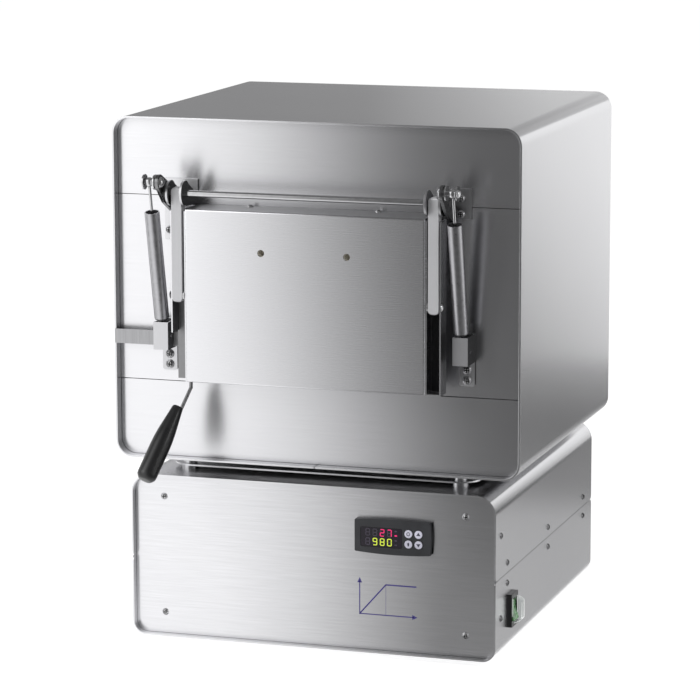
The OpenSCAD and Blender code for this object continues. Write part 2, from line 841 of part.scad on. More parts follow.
module power_relay() color("#4a4c50") translate([relay_at[0], relay_at[1], base_z + base_sheet]) {
    fin_pitch = relay_size[0] / relay_fins;
    translate([(relay_size[0] - relay_foot[0]) / 2, (relay_size[1] - relay_foot[1]) / 2, 0])
        cube(relay_foot);
    translate([0, 0, relay_foot[2]]) difference() {
        cube(relay_size);
        for (i = [0:relay_fins - 1])
            translate([(i + 0.25) * fin_pitch, -cut, relay_size[2] * 0.2])
                cube([fin_pitch / 2, relay_size[1] + 2 * cut, relay_size[2]]);
    }
}

module terminal_block() color("#d9d4c6")
    translate([terminal_at[0], terminal_at[1], base_z + base_sheet]) difference() {
        way = terminal_size[0] / terminal_ways;
        cube(terminal_size);
        for (i = [0:terminal_ways - 1])
            translate([(i + 0.5) * way, terminal_size[1] / 2, terminal_size[2] * 0.6])
                cylinder(h = terminal_size[2], d = way / 2);
    }

// Brackets on the oven's face
function left_plate_screws() = [[-plate_out + 4.3, shaft_z - 38.6], [-plate_out + 6, shaft_z + 1]];
function right_plate_screws() = [[plate_out - 9.6, shaft_z + 0.9], [plate_out - 9.6, shaft_z - 13.4]];

module ear_outline() {
    difference() {
        union() {
            translate([shaft_y, shaft_z]) circle(r = ear_r);
            polygon([[shaft_y - 2, shaft_z + ear_r - 0.2], [shaft_y + 9, shaft_z + 7.2],
                [bracket_y + 0.5, shaft_z + ear_neck_high], [bracket_y + 0.5, shaft_z + ear_neck_low],
                [shaft_y + 15, shaft_z - 12.4], [shaft_y, shaft_z - ear_r]]);
        }
        translate([shaft_y, shaft_z]) circle(d = shaft_d + 2 * running_gap);
    }
}

module bracket_ears() {
    along_x(ear_in, ear_in + ear_t) ear_outline();
    along_x(ear_out, ear_out + ear_t) ear_outline();
    along_y(bracket_y, oven_recess)
        translate([ear_in, shaft_z + ear_neck_low]) square([plate_out - ear_in, 24]);
}

module plate_holes(points) {
    for (p = points) bar_y(p[0], bracket_y - cut, oven_recess + cut, p[1], small_screw_d + 0.1);
}

module pivot_bracket_right() color(steel) difference() {
    union() {
        bracket_ears();
        along_y(bracket_y, oven_recess)
            translate([plate_out - 26, shaft_z - 17.8]) square([26, 27.2]);
    }
    plate_holes(right_plate_screws());
}

module pivot_bracket_left() color(steel) difference() {
    union() {
        mirror([1, 0, 0]) bracket_ears();
        along_y(bracket_y, oven_recess)
            translate([-plate_out, shaft_z - 47.5]) square([9, 54.5]);
    }
    plate_holes(left_plate_screws());
}

// Folded bracket of the spring's lower end, with its foot plate on the panel
module strut_bracket() {
    difference() {
        union() {
            along_y(block_front, bracket_y)
                translate([strut_x - block_w / 2, block_low]) square([block_w, block_top - block_low]);
            along_y(bracket_y, oven_recess)
                translate([strut_x, (foot_plate_low + block_top) / 2])
                    rounded_rect(foot_plate_w, block_top - foot_plate_low, 2.5);
        }
        along_y(block_front + block_t, bracket_y)
            translate([strut_x - block_w / 2 + block_t, block_low - cut])
                square([block_w - 2 * block_t, block_top - block_low + 2 * cut]);
        bar_x(strut_x - block_w, strut_x + block_w, spring_pin_y, spring_pin_z, spring_pin_d + 0.04);
        for (z = foot_screw_z)
            bar_y(strut_x, bracket_y - cut, oven_recess + cut, z, small_screw_d + 0.1);
    }
}

module strut_bracket_right() color(steel) strut_bracket();

module strut_bracket_left() color(steel) difference() {
    mirror([1, 0, 0]) strut_bracket();
    translate([-strut_x - block_w, -strip_t - strip_slot, strip_z - strip_slot])
        cube([2 * block_w, strip_t + 2 * strip_slot, strip_h + 2 * strip_slot]);
}

module strut_pins() color(chrome) both_sides()
    bar_x(strut_x - block_w / 2 - 0.6, strut_x + block_w / 2 + 0.6, spring_pin_y, spring_pin_z,
        spring_pin_d);

module bracket_screws() color(chrome) {
    for (s = [-1, 1], z = foot_screw_z)
        translate([s * strut_x, bracket_y, z])
            rotate([90, 0, 0]) pan_screw(pan_d, pan_h, small_screw_d, 6);
    for (p = concat(left_plate_screws(), right_plate_screws()))
        translate([p[0], bracket_y, p[1]])
            rotate([90, 0, 0]) pan_screw(7.4, 2.6, small_screw_d, 6);
}

module door_switch_strip() color(steel) {
    translate([-inner_w / 2 - 1, -strip_t, strip_z]) cube([inner_w / 2 + 1 - strip_end, strip_t, strip_h]);
    translate([-strip_end - strip_t, -strip_t, strip_z]) cube([strip_t, strip_t + oven_recess, strip_h]);
}

// Lift gear
module pivot_shaft() color(chrome)
    bar_x(-crank_in - crank_t - 0.6, crank_in + crank_t + 0.6, shaft_y, shaft_z, shaft_d);

module lift_arms() color(steel) both_sides() difference() {
    intersection() {
        along_y(shaft_y - arm_d / 2, shaft_y + arm_d / 2)
            translate([arm_in + arm_w / 2, (arm_low + arm_high) / 2])
                rounded_rect(arm_w, arm_high - arm_low, 4.4);
        along_x(arm_in, arm_out)
            translate([shaft_y, (arm_low + arm_high) / 2])
                rounded_rect(arm_d, arm_high - arm_low, 2.6);
    }
    bar_x(arm_in - cut, arm_out + cut, shaft_y, shaft_z, shaft_d + 0.02);
    bar_x(arm_in - cut, arm_out + cut, pin_y, pin_z, door_pin_d + 0.02);
}

module cranks() color(steel_dark) both_sides() difference() {
    along_x(crank_in, crank_in + crank_t) {
        link_outline([bolt_y, bolt_z], 7.2, [shaft_y, shaft_z], 10.4);
        link_outline([shaft_y, shaft_z], 10.4, [tail_y, tail_z], 7.4);
    }
    bar_x(crank_in - cut, crank_in + crank_t + cut, shaft_y, shaft_z, shaft_d + 0.02);
    bar_x(crank_in - cut, crank_in + crank_t + cut, bolt_y, bolt_z, crank_bolt_d + 0.02);
}

module ring_x(x0, t, y, z, d, bore) {
    difference() {
        bar_x(x0, x0 + t, y, z, d);
        bar_x(x0 - cut, x0 + t + cut, y, z, bore);
    }
}

module link_hardware() color(chrome) both_sides() {
    // Washers between the bracket and the crank
    for (i = [0, 1])
        ring_x(ear_out + ear_t + 0.4 + i * (washer_t + 0.05), washer_t, shaft_y, shaft_z,
            washer_d, shaft_d + 0.04);
    // Dome bolt through the crank, with a spacer, two washers and a dome nut
    translate([crank_in, bolt_y, bolt_z]) rotate([0, -90, 0]) dome_head(10, 3.6);
    bar_x(crank_in, strut_x + eye_half + 2, bolt_y, bolt_z, crank_bolt_d);
    ring_x(crank_in + crank_t, 1.6, bolt_y, bolt_z, 8, crank_bolt_d);
    ring_x(crank_in + crank_t + 1.6, 1.2, bolt_y, bolt_z, washer_d, crank_bolt_d);
    ring_x(strut_x + eye_half + 0.4, 1.2, bolt_y, bolt_z, washer_d, crank_bolt_d);
    translate([strut_x + eye_half + 1.6, bolt_y, bolt_z]) rotate([0, 90, 0]) dome_head(9, 2.6);
}

module door_pins() color(chrome) both_sides() {
    bar_x(door_w / 2 - 0.8, channel_out + 0.35, pin_y, pin_z, door_pin_d);
    translate([channel_out + 0.35, pin_y, pin_z]) rotate([0, 90, 0]) dome_head(8.6, 2.2);
    ring_x(channel_x + door_sheet + 0.35, 1.1, pin_y, pin_z, 9, door_pin_d);
}

// Door
// Bent sheet with round front edges on all four sides
module door_form(inset, back) {
    intersection() {
        translate([0, 0, door_bottom + inset])
            linear_extrude(door_h - 2 * inset) round_front(door_w / 2 - inset, inset, back);
        along_x(-door_w / 2 + inset, door_w / 2 - inset)
            translate([0, oven_mid]) rotate(-90) mirror([1, 0])
                round_front(door_h / 2 - inset, inset, back);
    }
}

module round_front(half, inset, back) {
    front = door_face + inset;
    r = max(door_bend - inset, 0.3);
    translate([-half, front + r]) square([2 * half, back - front - r]);
    translate([-half + r, front]) square([2 * half - 2 * r, r + cut]);
    for (s = [-1, 1]) translate([s * (half - r), front + r]) circle(r = r);
}

module door_shell() color(steel) difference() {
    door_form(0, door_back);
    door_form(door_sheet, door_back + cut);
    for (s = [-1, 1]) {
        bar_y(s * face_hole_x, door_face - cut, door_face + 3, oven_mid + face_hole_up, face_hole_d);
        bar_x(s * door_w / 2 - 3, s * door_w / 2 + 3, pin_y, pin_z, door_pin_d + 2);
        translate([s * top_screw_x, top_screw_y, door_top - 3]) cylinder(h = 4, d = small_screw_d + 0.1);
    }
}

// Channel beside the door shell, open to the front, with a floor plate
module channel_section() {
    difference() {
        translate([channel_x, channel_front]) square([channel_w, channel_d]);
        translate([channel_x + door_sheet, channel_front - cut])
            square([channel_w - 2 * door_sheet, channel_d - door_sheet + cut]);
    }
}

module door_channel_right() color(steel) difference() {
    union() {
        translate([0, 0, door_bottom]) linear_extrude(channel_top - door_bottom) channel_section();
        translate([channel_x, channel_front, door_bottom]) cube([channel_w, channel_d, door_sheet]);
    }
    bar_x(channel_x - cut, channel_out + cut, pin_y, pin_z, door_pin_d + 2 * running_gap);
}

module door_channel_left() color(steel) mirror([1, 0, 0]) difference() {
    translate([0, 0, door_bottom]) linear_extrude(channel_top - door_bottom) channel_section();
    bar_x(channel_x - cut, channel_out + cut, pin_y, pin_z, door_pin_d + 2 * running_gap);
    // The outer wall is cut away beside the switch strip
    translate([channel_x + 2 * door_sheet, channel_front - cut, door_bottom - cut])
        cube([channel_w, channel_d - door_sheet + cut, 46]);
}

module door_insulation() color(board) difference() {
    union() {
        along_y(door_face + door_sheet + seat, door_back) translate([0, oven_mid])
            square([door_w - 2 * door_sheet - 2 * seat, door_h - 2 * door_sheet - 2 * seat],
                center = true);
        along_y(door_back, plug_front) translate([0, oven_mid])
            square([mouth_w - 2 * pad_gap, mouth_h - 2 * pad_gap], center = true);
        taper(chamber_w - 2 * plug_root, chamber_h - 2 * plug_root,
            chamber_w - 2 * plug_tip, chamber_h - 2 * plug_tip, plug_front, plug_end);
    }
    for (s = [-1, 1]) {
        bar_y(s * face_hole_x, door_face, door_face + 12, oven_mid + face_hole_up, face_hole_d);
        bar_x(s * door_w / 2 - 3, s * door_w / 2 + 3, pin_y, pin_z, door_pin_d + 2);
        translate([s * top_screw_x, top_screw_y, door_top - 8]) cylinder(h = 8, d = small_screw_d + 1);
    }
}

module door_screws() color(chrome)
    for (s = [-1, 1])
        translate([s * top_screw_x, top_screw_y, door_top]) pan_screw(6.4, 2.2, small_screw_d, 5);

// Handle: a wire from the door's lower edge, bent down and outwards, with a turned grip
module along_handle() {
    translate([-handle_x, knee_y, knee_z])
        rotate([0, 0, -grip_turn]) rotate([90 + grip_lean, 0, 0]) children();
}

module handle_rod() color(steel_dark) {
    knee_lean = atan2(handle_y - knee_y, door_bottom - knee_z);
    translate([-handle_x, knee_y, knee_z])
        rotate([-knee_lean, 0, 0]) cylinder(h = door_bottom - knee_z - 0.15, d = handle_wire);
    translate([-handle_x, knee_y, knee_z]) sphere(d = handle_wire + 0.3);
    along_handle() cylinder(h = wire_free + wire_hidden, d = handle_wire);
}

module handle_grip() color(black) along_handle() difference() {
    translate([grip_off[0], grip_off[1], wire_free]) rotate_extrude()
        polygon([[0, 0], [grip_neck_d / 2 - 1, 0], [grip_neck_d / 2, 1.2],
            [grip_d * 0.47, grip_l * 0.42], [grip_d / 2, grip_l * 0.52],
            [grip_d / 2, grip_l - 5], [grip_tip_r, grip_l - 0.6],
            [grip_d * 0.3, grip_l], [0, grip_l]]);
    cylinder(h = wire_free + wire_hidden + 0.2, d = handle_wire + 0.04);
}

// Spring struts: everything is drawn along the line from the crank bolt to the lower pin
module along_strut(s) {
    translate([s * strut_x, bolt_y, bolt_z]) rotate([180 + strut_tilt, 0, 0]) children();
}

module hook_rod(s) {
    along_strut(s) {
        difference() {
            union() {
                sphere(d = eye_d);
                cylinder(h = spring_top + 3, d = spring_wire);
                translate([0, 0, spring_top - 1]) cylinder(h = 2, d = spring_d - 2);
            }
            rotate([0, 90, 0]) translate([0, 0, -eye_d])
                cylinder(h = 2 * eye_d, d = crank_bolt_d + 2 * running_gap);
            for (x = [-1, 1])
                translate([x * (eye_half + eye_d / 2), 0, 0]) cube(eye_d, center = true);
        }
    }
}

module hook_rod_left() color(chrome) hook_rod(-1);

module hook_rod_right() color(chrome) hook_rod(1);

// Close-wound extension spring with a long loop at its lower end
module spring(s) {
    turn = (spring_low - spring_top - 2) / spring_turns;
    along_strut(s) {
        difference() {
            for (i = [0:spring_turns - 1])
                translate([0, 0, spring_top + 1.6 + (i + 0.5) * turn])
                    rotate_extrude() translate([spring_d / 2 - turn * 0.55, 0]) circle(d = turn * 1.1);
            translate([0, 0, spring_top + 1]) cylinder(h = 2.2, d = spring_wire + 1);
        }
        // End disc inside the coils, and the washer that the sleeve stands on
        translate([0, 0, spring_low - 2]) cylinder(h = 2, d = spring_d - 1);
        translate([0, 0, spring_low - 1]) cylinder(h = hook_top - spring_low, d = spring_wire);
        translate([0, 0, sleeve_low + seat]) cylinder(h = 1, d = stop_d);
        rotate([90, 0, 90]) loop();
    }
}

module loop() {
    side = hook_w / 2 + loop_wire / 2;
    top = hook_top + hook_w / 2;
    for (s = [-1, 1])
        translate([s * side, top, 0]) rotate([-90, 0, 0]) cylinder(h = hook_low - hook_top, d = loop_wire);
    translate([0, top, 0]) rotate([0, 0, 180])
        rotate_extrude(angle = 180) translate([side, 0]) circle(d = loop_wire);
    translate([0, top + hook_low - hook_top, 0])
        rotate_extrude(angle = 180) translate([side, 0]) circle(d = loop_wire);
}

module spring_left() color(steel_dark) spring(-1);

module spring_right() color(steel_dark) spring(1);

// Open tube around the spring
module sleeve(s) {
    along_strut(s) translate([0, 0, sleeve_top]) difference() {
        cylinder(h = sleeve_l, d = sleeve_d);
        translate([0, 0, -cut]) cylinder(h = sleeve_l + 2 * cut, d = sleeve_d - 2 * sleeve_wall);
    }
}

module sleeve_left() color(chrome) sleeve(-1);

module sleeve_right() color(chrome) sleeve(1);

place() {
    outer_wrapper();
    front_panel_top();
    front_panel_middle();
    front_panel_bottom();
    upper_back_panel();
    muffle();
    heating_coils();
    insulation_boards();
    insulation_rear();
    mouth_collar();
    thermocouple();
    flue_tube();
    spacers();
    heat_shield();
    cable_conduit();
    base_cover();
    base_tray();
    base_front_panel();
    base_rear_panel();
    seam_straps();
    base_screws();
    feet();
    controller_body();
    controller_window();
    key_menu();
    key_set();
    key_down();
    key_up();
    switch_frame();
    power_rocker();
    switch_cover();
    power_inlet();
    fuse_holder();
    power_relay();
    terminal_block();
    pivot_bracket_left();
    pivot_bracket_right();
    strut_bracket_left();
    strut_bracket_right();
    strut_pins();
    bracket_screws();
    door_switch_strip();
    pivot_shaft();
    lift_arms();
    cranks();
    link_hardware();
    door_pins();
    door_shell();
    door_channel_left();
    door_channel_right();
    door_insulation();
    door_screws();
    handle_rod();
    handle_grip();
    hook_rod_left();
    hook_rod_right();
    spring_left();
    spring_right();
    sleeve_left();
    sleeve_right();
}
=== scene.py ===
import json
import math

import bmesh
import bpy
from mathutils import Matrix, Vector

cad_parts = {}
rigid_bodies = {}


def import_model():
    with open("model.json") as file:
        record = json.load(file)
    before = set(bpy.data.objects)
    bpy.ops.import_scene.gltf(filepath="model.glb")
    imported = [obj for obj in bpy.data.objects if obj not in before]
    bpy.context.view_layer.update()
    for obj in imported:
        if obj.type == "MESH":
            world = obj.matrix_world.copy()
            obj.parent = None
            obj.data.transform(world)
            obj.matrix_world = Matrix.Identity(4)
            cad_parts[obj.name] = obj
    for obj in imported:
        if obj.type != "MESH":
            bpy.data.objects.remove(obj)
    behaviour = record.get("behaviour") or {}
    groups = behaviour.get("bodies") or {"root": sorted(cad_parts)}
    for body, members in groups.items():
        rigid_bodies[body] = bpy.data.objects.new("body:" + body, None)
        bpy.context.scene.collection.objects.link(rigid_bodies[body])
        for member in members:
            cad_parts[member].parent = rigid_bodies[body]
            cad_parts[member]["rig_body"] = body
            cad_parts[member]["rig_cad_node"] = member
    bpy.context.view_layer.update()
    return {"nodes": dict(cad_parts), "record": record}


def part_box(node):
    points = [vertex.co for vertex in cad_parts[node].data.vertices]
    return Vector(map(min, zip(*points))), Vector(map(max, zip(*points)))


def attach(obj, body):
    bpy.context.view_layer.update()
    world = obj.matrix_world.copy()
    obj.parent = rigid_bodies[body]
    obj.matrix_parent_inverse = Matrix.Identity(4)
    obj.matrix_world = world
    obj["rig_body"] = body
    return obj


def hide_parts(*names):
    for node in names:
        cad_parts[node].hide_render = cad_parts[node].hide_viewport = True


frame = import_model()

bl_info = {
    "name": "Jewellery kiln",
    "version": (1, 0, 0),
    "blender": (4, 5, 0),
    "location": "View3D > Sidebar > Kiln",
    "description": "Dresses the bench kiln with brushed steel, its controller and its switch",
    "category": "Object",
}

MM = 0.001
MERGE = 1e-6    # points closer than this are one
SQUARE_ON = 0.9    # least share of its normal along the axis that a face looks along
MARK_HEIGHT = 0.15 * MM
NODES = frame["nodes"]


# Settings

class KilnSizes(bpy.types.PropertyGroup):
    digit_height: bpy.props.FloatProperty(
        name="Digit height", description="Height of the digits in the window",
        default=6.6 * MM, min=1 * MM, unit="LENGTH")
    digit_pitch: bpy.props.FloatProperty(
        name="Digit pitch", description="Distance from one digit to the next",
        default=6.85 * MM, min=1 * MM, unit="LENGTH")
    line_width: bpy.props.FloatProperty(
        name="Graph line", description="Width of the printed graph's lines",
        default=1.3 * MM, min=0.1 * MM, unit="LENGTH")
    print_height: bpy.props.FloatProperty(
        name="Print height", description="Thickness of printed marks",
        default=0.06 * MM, min=0.01 * MM, unit="LENGTH")
    dome_wall: bpy.props.FloatProperty(
        name="Dome wall", description="Wall of the clear switch dome",
        default=0.5 * MM, min=0.2 * MM, unit="LENGTH")


def shade(name, description, default):
    """A setting that holds one colour."""
    return bpy.props.FloatVectorProperty(
        name=name, description=description, default=default,
        subtype="COLOR", size=3, min=0, max=1)


class KilnColours(bpy.types.PropertyGroup):
    steel: shade("Steel", "Tone of the brushed stainless sheet", (0.66, 0.66, 0.675))
    plated: shade("Plated parts", "Tone of the polished small parts", (0.60, 0.60, 0.61))
    grip: shade("Grip", "Colour of the handle's grip", (0.012, 0.012, 0.013))
    bezel: shade("Bezel", "Colour of the controller's bezel", (0.026, 0.027, 0.031))
    digit_red: shade("Upper digits", "Colour of the upper digits", (0.80, 0.025, 0.16))
    digit_green: shade("Lower digits", "Colour of the lower digits", (0.62, 0.76, 0.06))
    print_ink: shade("Print", "Colour of the printed graph", (0.055, 0.045, 0.22))


class KilnStage(bpy.types.PropertyGroup):
    backdrop: bpy.props.FloatProperty(
        name="Backdrop", description="Brightness of the backdrop", default=1.0, min=0, max=1)
    key_power: bpy.props.FloatProperty(
        name="Key light", description="Power of the key light in watts", default=38.0, min=0)
    fill_power: bpy.props.FloatProperty(
        name="Fill light", description="Power of the fill light in watts", default=12.0, min=0)


# Small helpers

def sizes():
    return bpy.context.scene.kiln_sizes


def colours():
    return bpy.context.scene.kiln_colours


def deselect():
    bpy.ops.object.select_all(action="DESELECT")


def make_active(obj):
    deselect()
    obj.select_set(True)
    bpy.context.view_layer.objects.active = obj


def newest(name):
    """Names the piece that was added last, and its mesh."""
    obj = bpy.context.object
    obj.name = name
    obj.data.name = name
    return obj


def settle(obj):
    """Puts the object's place, turn and scale into its mesh."""
    make_active(obj)
    bpy.ops.object.transform_apply(location=True, rotation=True, scale=True)


def edit(obj, pick=None, mode="FACE"):
    """Opens edit mode with the picked faces or edges selected, or else the whole piece."""
    make_active(obj)
    bpy.ops.object.mode_set(mode="EDIT")
    bpy.ops.mesh.select_mode(type=mode)
    bpy.ops.mesh.select_all(action="DESELECT" if pick else "SELECT")
    if pick:
        mesh = bmesh.from_edit_mesh(obj.data)
        for item in (mesh.faces if mode == "FACE" else mesh.edges):
            if pick(item):
                item.select_set(True)
        bmesh.update_edit_mesh(obj.data)


def close_edit():
    bpy.ops.object.mode_set(mode="OBJECT")


def extrude(x, y, z):
    bpy.ops.mesh.extrude_region_move(TRANSFORM_OT_translate={"value": (x, y, z)})


def grow(x, y, z, about=(0, 0, 0)):
    bpy.ops.transform.resize(value=(x, y, z), center_override=about)


def apply_bevel(obj, width, segments, angle):
    """Rounds every edge that is sharper than the angle in degrees."""
    make_active(obj)
    bevel = obj.modifiers.new("Round", "BEVEL")
    bevel.width = width
    bevel.segments = segments
    bevel.limit_method = "ANGLE"
    bevel.angle_limit = math.radians(angle)
    bpy.ops.object.modifier_apply(modifier=bevel.name)


def smooth(obj, angle):
    """Shades the piece smooth across edges flatter than the angle in degrees."""
    make_active(obj)
    bpy.ops.object.shade_smooth_by_angle(angle=math.radians(angle))


def flat_faces_true(obj):
    """Keeps the wide flat faces flat in the shading, beside their small rounds."""
    make_active(obj)
    weighted = obj.modifiers.new("Weighted", "WEIGHTED_NORMAL")
    weighted.weight = 50
    weighted.keep_sharp = True
    bpy.ops.object.modifier_apply(modifier=weighted.name)


def outward(obj):
    """Merges doubled points and turns every face outwards."""
    edit(obj)
    bpy.ops.mesh.remove_doubles(threshold=MERGE)
    bpy.ops.mesh.normals_make_consistent(inside=False)
    close_edit()


def dress(obj, *finishes):
    """Gives a piece its finishes; every face gets the first one."""
    obj.data.materials.clear()
    for finish in finishes:
        obj.data.materials.append(MATERIALS[finish])


# Materials

MATERIALS = {}


def new_material(name, colour, metallic, roughness):
    """Starts a finish, and keeps it in MATERIALS under its name."""
    material = bpy.data.materials.new(name)
    material.use_nodes = True
    shader = material.node_tree.nodes["Principled BSDF"]
    shader.inputs["Base Color"].default_value = (*colour, 1)
    shader.inputs["Metallic"].default_value = metallic
    shader.inputs["Roughness"].default_value = roughness
    MATERIALS[name] = material
    return material.node_tree, shader


def add_node(tree, kind, **values):
    node = tree.nodes.new(kind)
    for key, value in values.items():
        if key in node.inputs:
            node.inputs[key].default_value = value
        else:
            setattr(node, key, value)
    return node


def link(tree, a, out, b, into):
    tree.links.new(a.outputs[out], b.inputs[into])


def noise_on_object(tree, scale, stretch=(1, 1, 1), detail=3.0, rough=0.5):
    place = add_node(tree, "ShaderNodeTexCoord")
    mapping = add_node(tree, "ShaderNodeMapping", Scale=stretch)
    noise = add_node(tree, "ShaderNodeTexNoise", Scale=scale, Detail=detail, Roughness=rough)
    link(tree, place, "Object", mapping, "Vector")
    link(tree, mapping, "Vector", noise, "Vector")
    return noise


def ramp(tree, noise, low, high, dark, light):
    """Goes from the dark to the light colour as the noise rises from low to high."""
    node = add_node(tree, "ShaderNodeValToRGB")
    ends = node.color_ramp.elements
    for end, place, colour in ((ends[0], low, dark), (ends[1], high, light)):
        end.position = place
        end.color = (*colour, 1)
    link(tree, noise, "Fac", node, "Fac")
    return node


def vary_colour(tree, shader, noise, low, high, colour, dark, light):
    """Tones the colour down to the share dark and up to the share light."""
    tint = ramp(tree, noise, low, high, toned(colour, dark), toned(colour, light))
    link(tree, tint, "Color", shader, "Base Color")


def vary_gloss(tree, shader, noise, low, high):
    """Lets the roughness wander between low and high."""
    gloss = add_node(tree, "ShaderNodeMapRange", **{"To Min": low, "To Max": high})
    link(tree, noise, "Fac", gloss, "Value")
    link(tree, gloss, "Result", shader, "Roughness")


def emboss(tree, shader, noise, strength, depth):
    bump = add_node(tree, "ShaderNodeBump", Strength=strength, Distance=depth)
    link(tree, noise, "Fac", bump, "Height")
    link(tree, bump, "Normal", shader, "Normal")


def toned(colour, factor):
    return tuple(min(1.0, c * factor) for c in colour)


def brushed_steel(name, fine_across, tone=1.0, rough=0.25, turn=0.25, around=None,
                  grain=1.0, metallic=1.0):
    """Brushed sheet: hair lines run along the brushing, and reflections smear across it.

    fine_across holds the axes that cross the lines, grain is how strong the lines are,
    and around is the axis that a bent sheet's brushing runs round."""
    hair_fine, line_fine, line_long = 150.0, 36.0, 0.6
    half_spread, hair_depth = 0.02, 0.02 * MM
    base = toned(colours().steel, tone)
    tree, shader = new_material(name, base, metallic, rough)
    hair_stretch = [hair_fine if axis in fine_across else 1.0 for axis in "XYZ"]
    line_stretch = [line_fine if axis in fine_across else line_long for axis in "XYZ"]
    hair = noise_on_object(tree, 30.0, hair_stretch, detail=3.0, rough=0.6)
    lines = noise_on_object(tree, 16.0, line_stretch, detail=4.0, rough=0.6)
    clouds = noise_on_object(tree, 4.0, detail=2.0)
    dark, light, lined = 1 - 0.06 * grain, 1 + 0.04 * grain, 1 - 0.03 * grain
    tint = ramp(tree, hair, 0.28, 0.74, toned(base, dark), toned(base, light))
    last = tint.outputs["Color"]
    for layer in (ramp(tree, lines, 0.30, 0.72, (lined,) * 3, (1, 1, 1)),
                  ramp(tree, clouds, 0.35, 0.70, (0.965, 0.965, 0.97), (1, 1, 1))):
        mix = add_node(tree, "ShaderNodeMix", data_type="RGBA", blend_type="MULTIPLY", Factor=1.0)
        tree.links.new(last, mix.inputs[6])
        tree.links.new(layer.outputs["Color"], mix.inputs[7])
        last = mix.outputs[2]
    tree.links.new(last, shader.inputs["Base Color"])
    vary_gloss(tree, shader, hair, rough - half_spread, rough + half_spread)
    emboss(tree, shader, hair, 0.05 * grain, hair_depth)
    shader.inputs["Anisotropic"].default_value = 0.7
    shader.inputs["Anisotropic Rotation"].default_value = turn
    if around:
        tangent = add_node(tree, "ShaderNodeTangent", direction_type="RADIAL", axis=around)
    else:
        tangent = add_node(tree, "ShaderNodeTangent", direction_type="UV_MAP")
        tangent.uv_map = "brush"
    link(tree, tangent, "Tangent", shader, "Tangent")


def plated_metal(name, colour, rough):
    """Plated or polished metal with faint wipe marks."""
    tree, shader = new_material(name, colour, 1.0, rough)
    marks = noise_on_object(tree, 260.0, detail=4.0)
    vary_gloss(tree, shader, marks, rough * 0.7, rough * 1.6)
    vary_colour(tree, shader, marks, 0.3, 0.75, colour, 0.9, 1.06)


def moulded_plastic(name, colour, rough, depth=0.12):
    """Moulded plastic or rubber; depth is how strong its fine pores are."""
    pore_scale, pore_depth = 900.0, 0.05 * MM
    tree, shader = new_material(name, colour, 0.0, rough)
    pores = noise_on_object(tree, pore_scale, detail=2.0)
    soft = noise_on_object(tree, 60.0, detail=2.0)
    vary_colour(tree, shader, soft, 0.3, 0.7, colour, 0.82, 1.18)
    vary_gloss(tree, shader, soft, rough * 0.85, rough * 1.2)
    emboss(tree, shader, pores, depth, pore_depth)


def fired_clay(name, colour, grain=220.0):
    """Ceramic, fibre board or scaled wire, gritty at the grain's scale."""
    grit_depth = 0.4 * MM
    tree, shader = new_material(name, colour, 0.0, 0.92)
    grit = noise_on_object(tree, grain, detail=5.0, rough=0.6)
    vary_colour(tree, shader, grit, 0.3, 0.7, colour, 0.86, 1.05)
    emboss(tree, shader, grit, 0.4, grit_depth)


def glowing(name, colour, strength):
    """A lit segment or lamp."""
    tree, shader = new_material(name, toned(colour, 0.5), 0.0, 0.4)
    shader.inputs["Emission Strength"].default_value = strength
    wave = noise_on_object(tree, 400.0)
    tint = ramp(tree, wave, 0.2, 0.8, toned(colour, 0.88), colour)
    link(tree, tint, "Color", shader, "Emission Color")


def clear_plastic(name, colour, rough):
    """A clear moulding whose walls bend the light only a little."""
    tree, shader = new_material(name, colour, 0.0, rough)
    shader.inputs["Transmission Weight"].default_value = 1.0
    shader.inputs["IOR"].default_value = 1.16
    haze = noise_on_object(tree, 90.0)
    vary_gloss(tree, shader, haze, rough * 0.6, rough * 1.8)


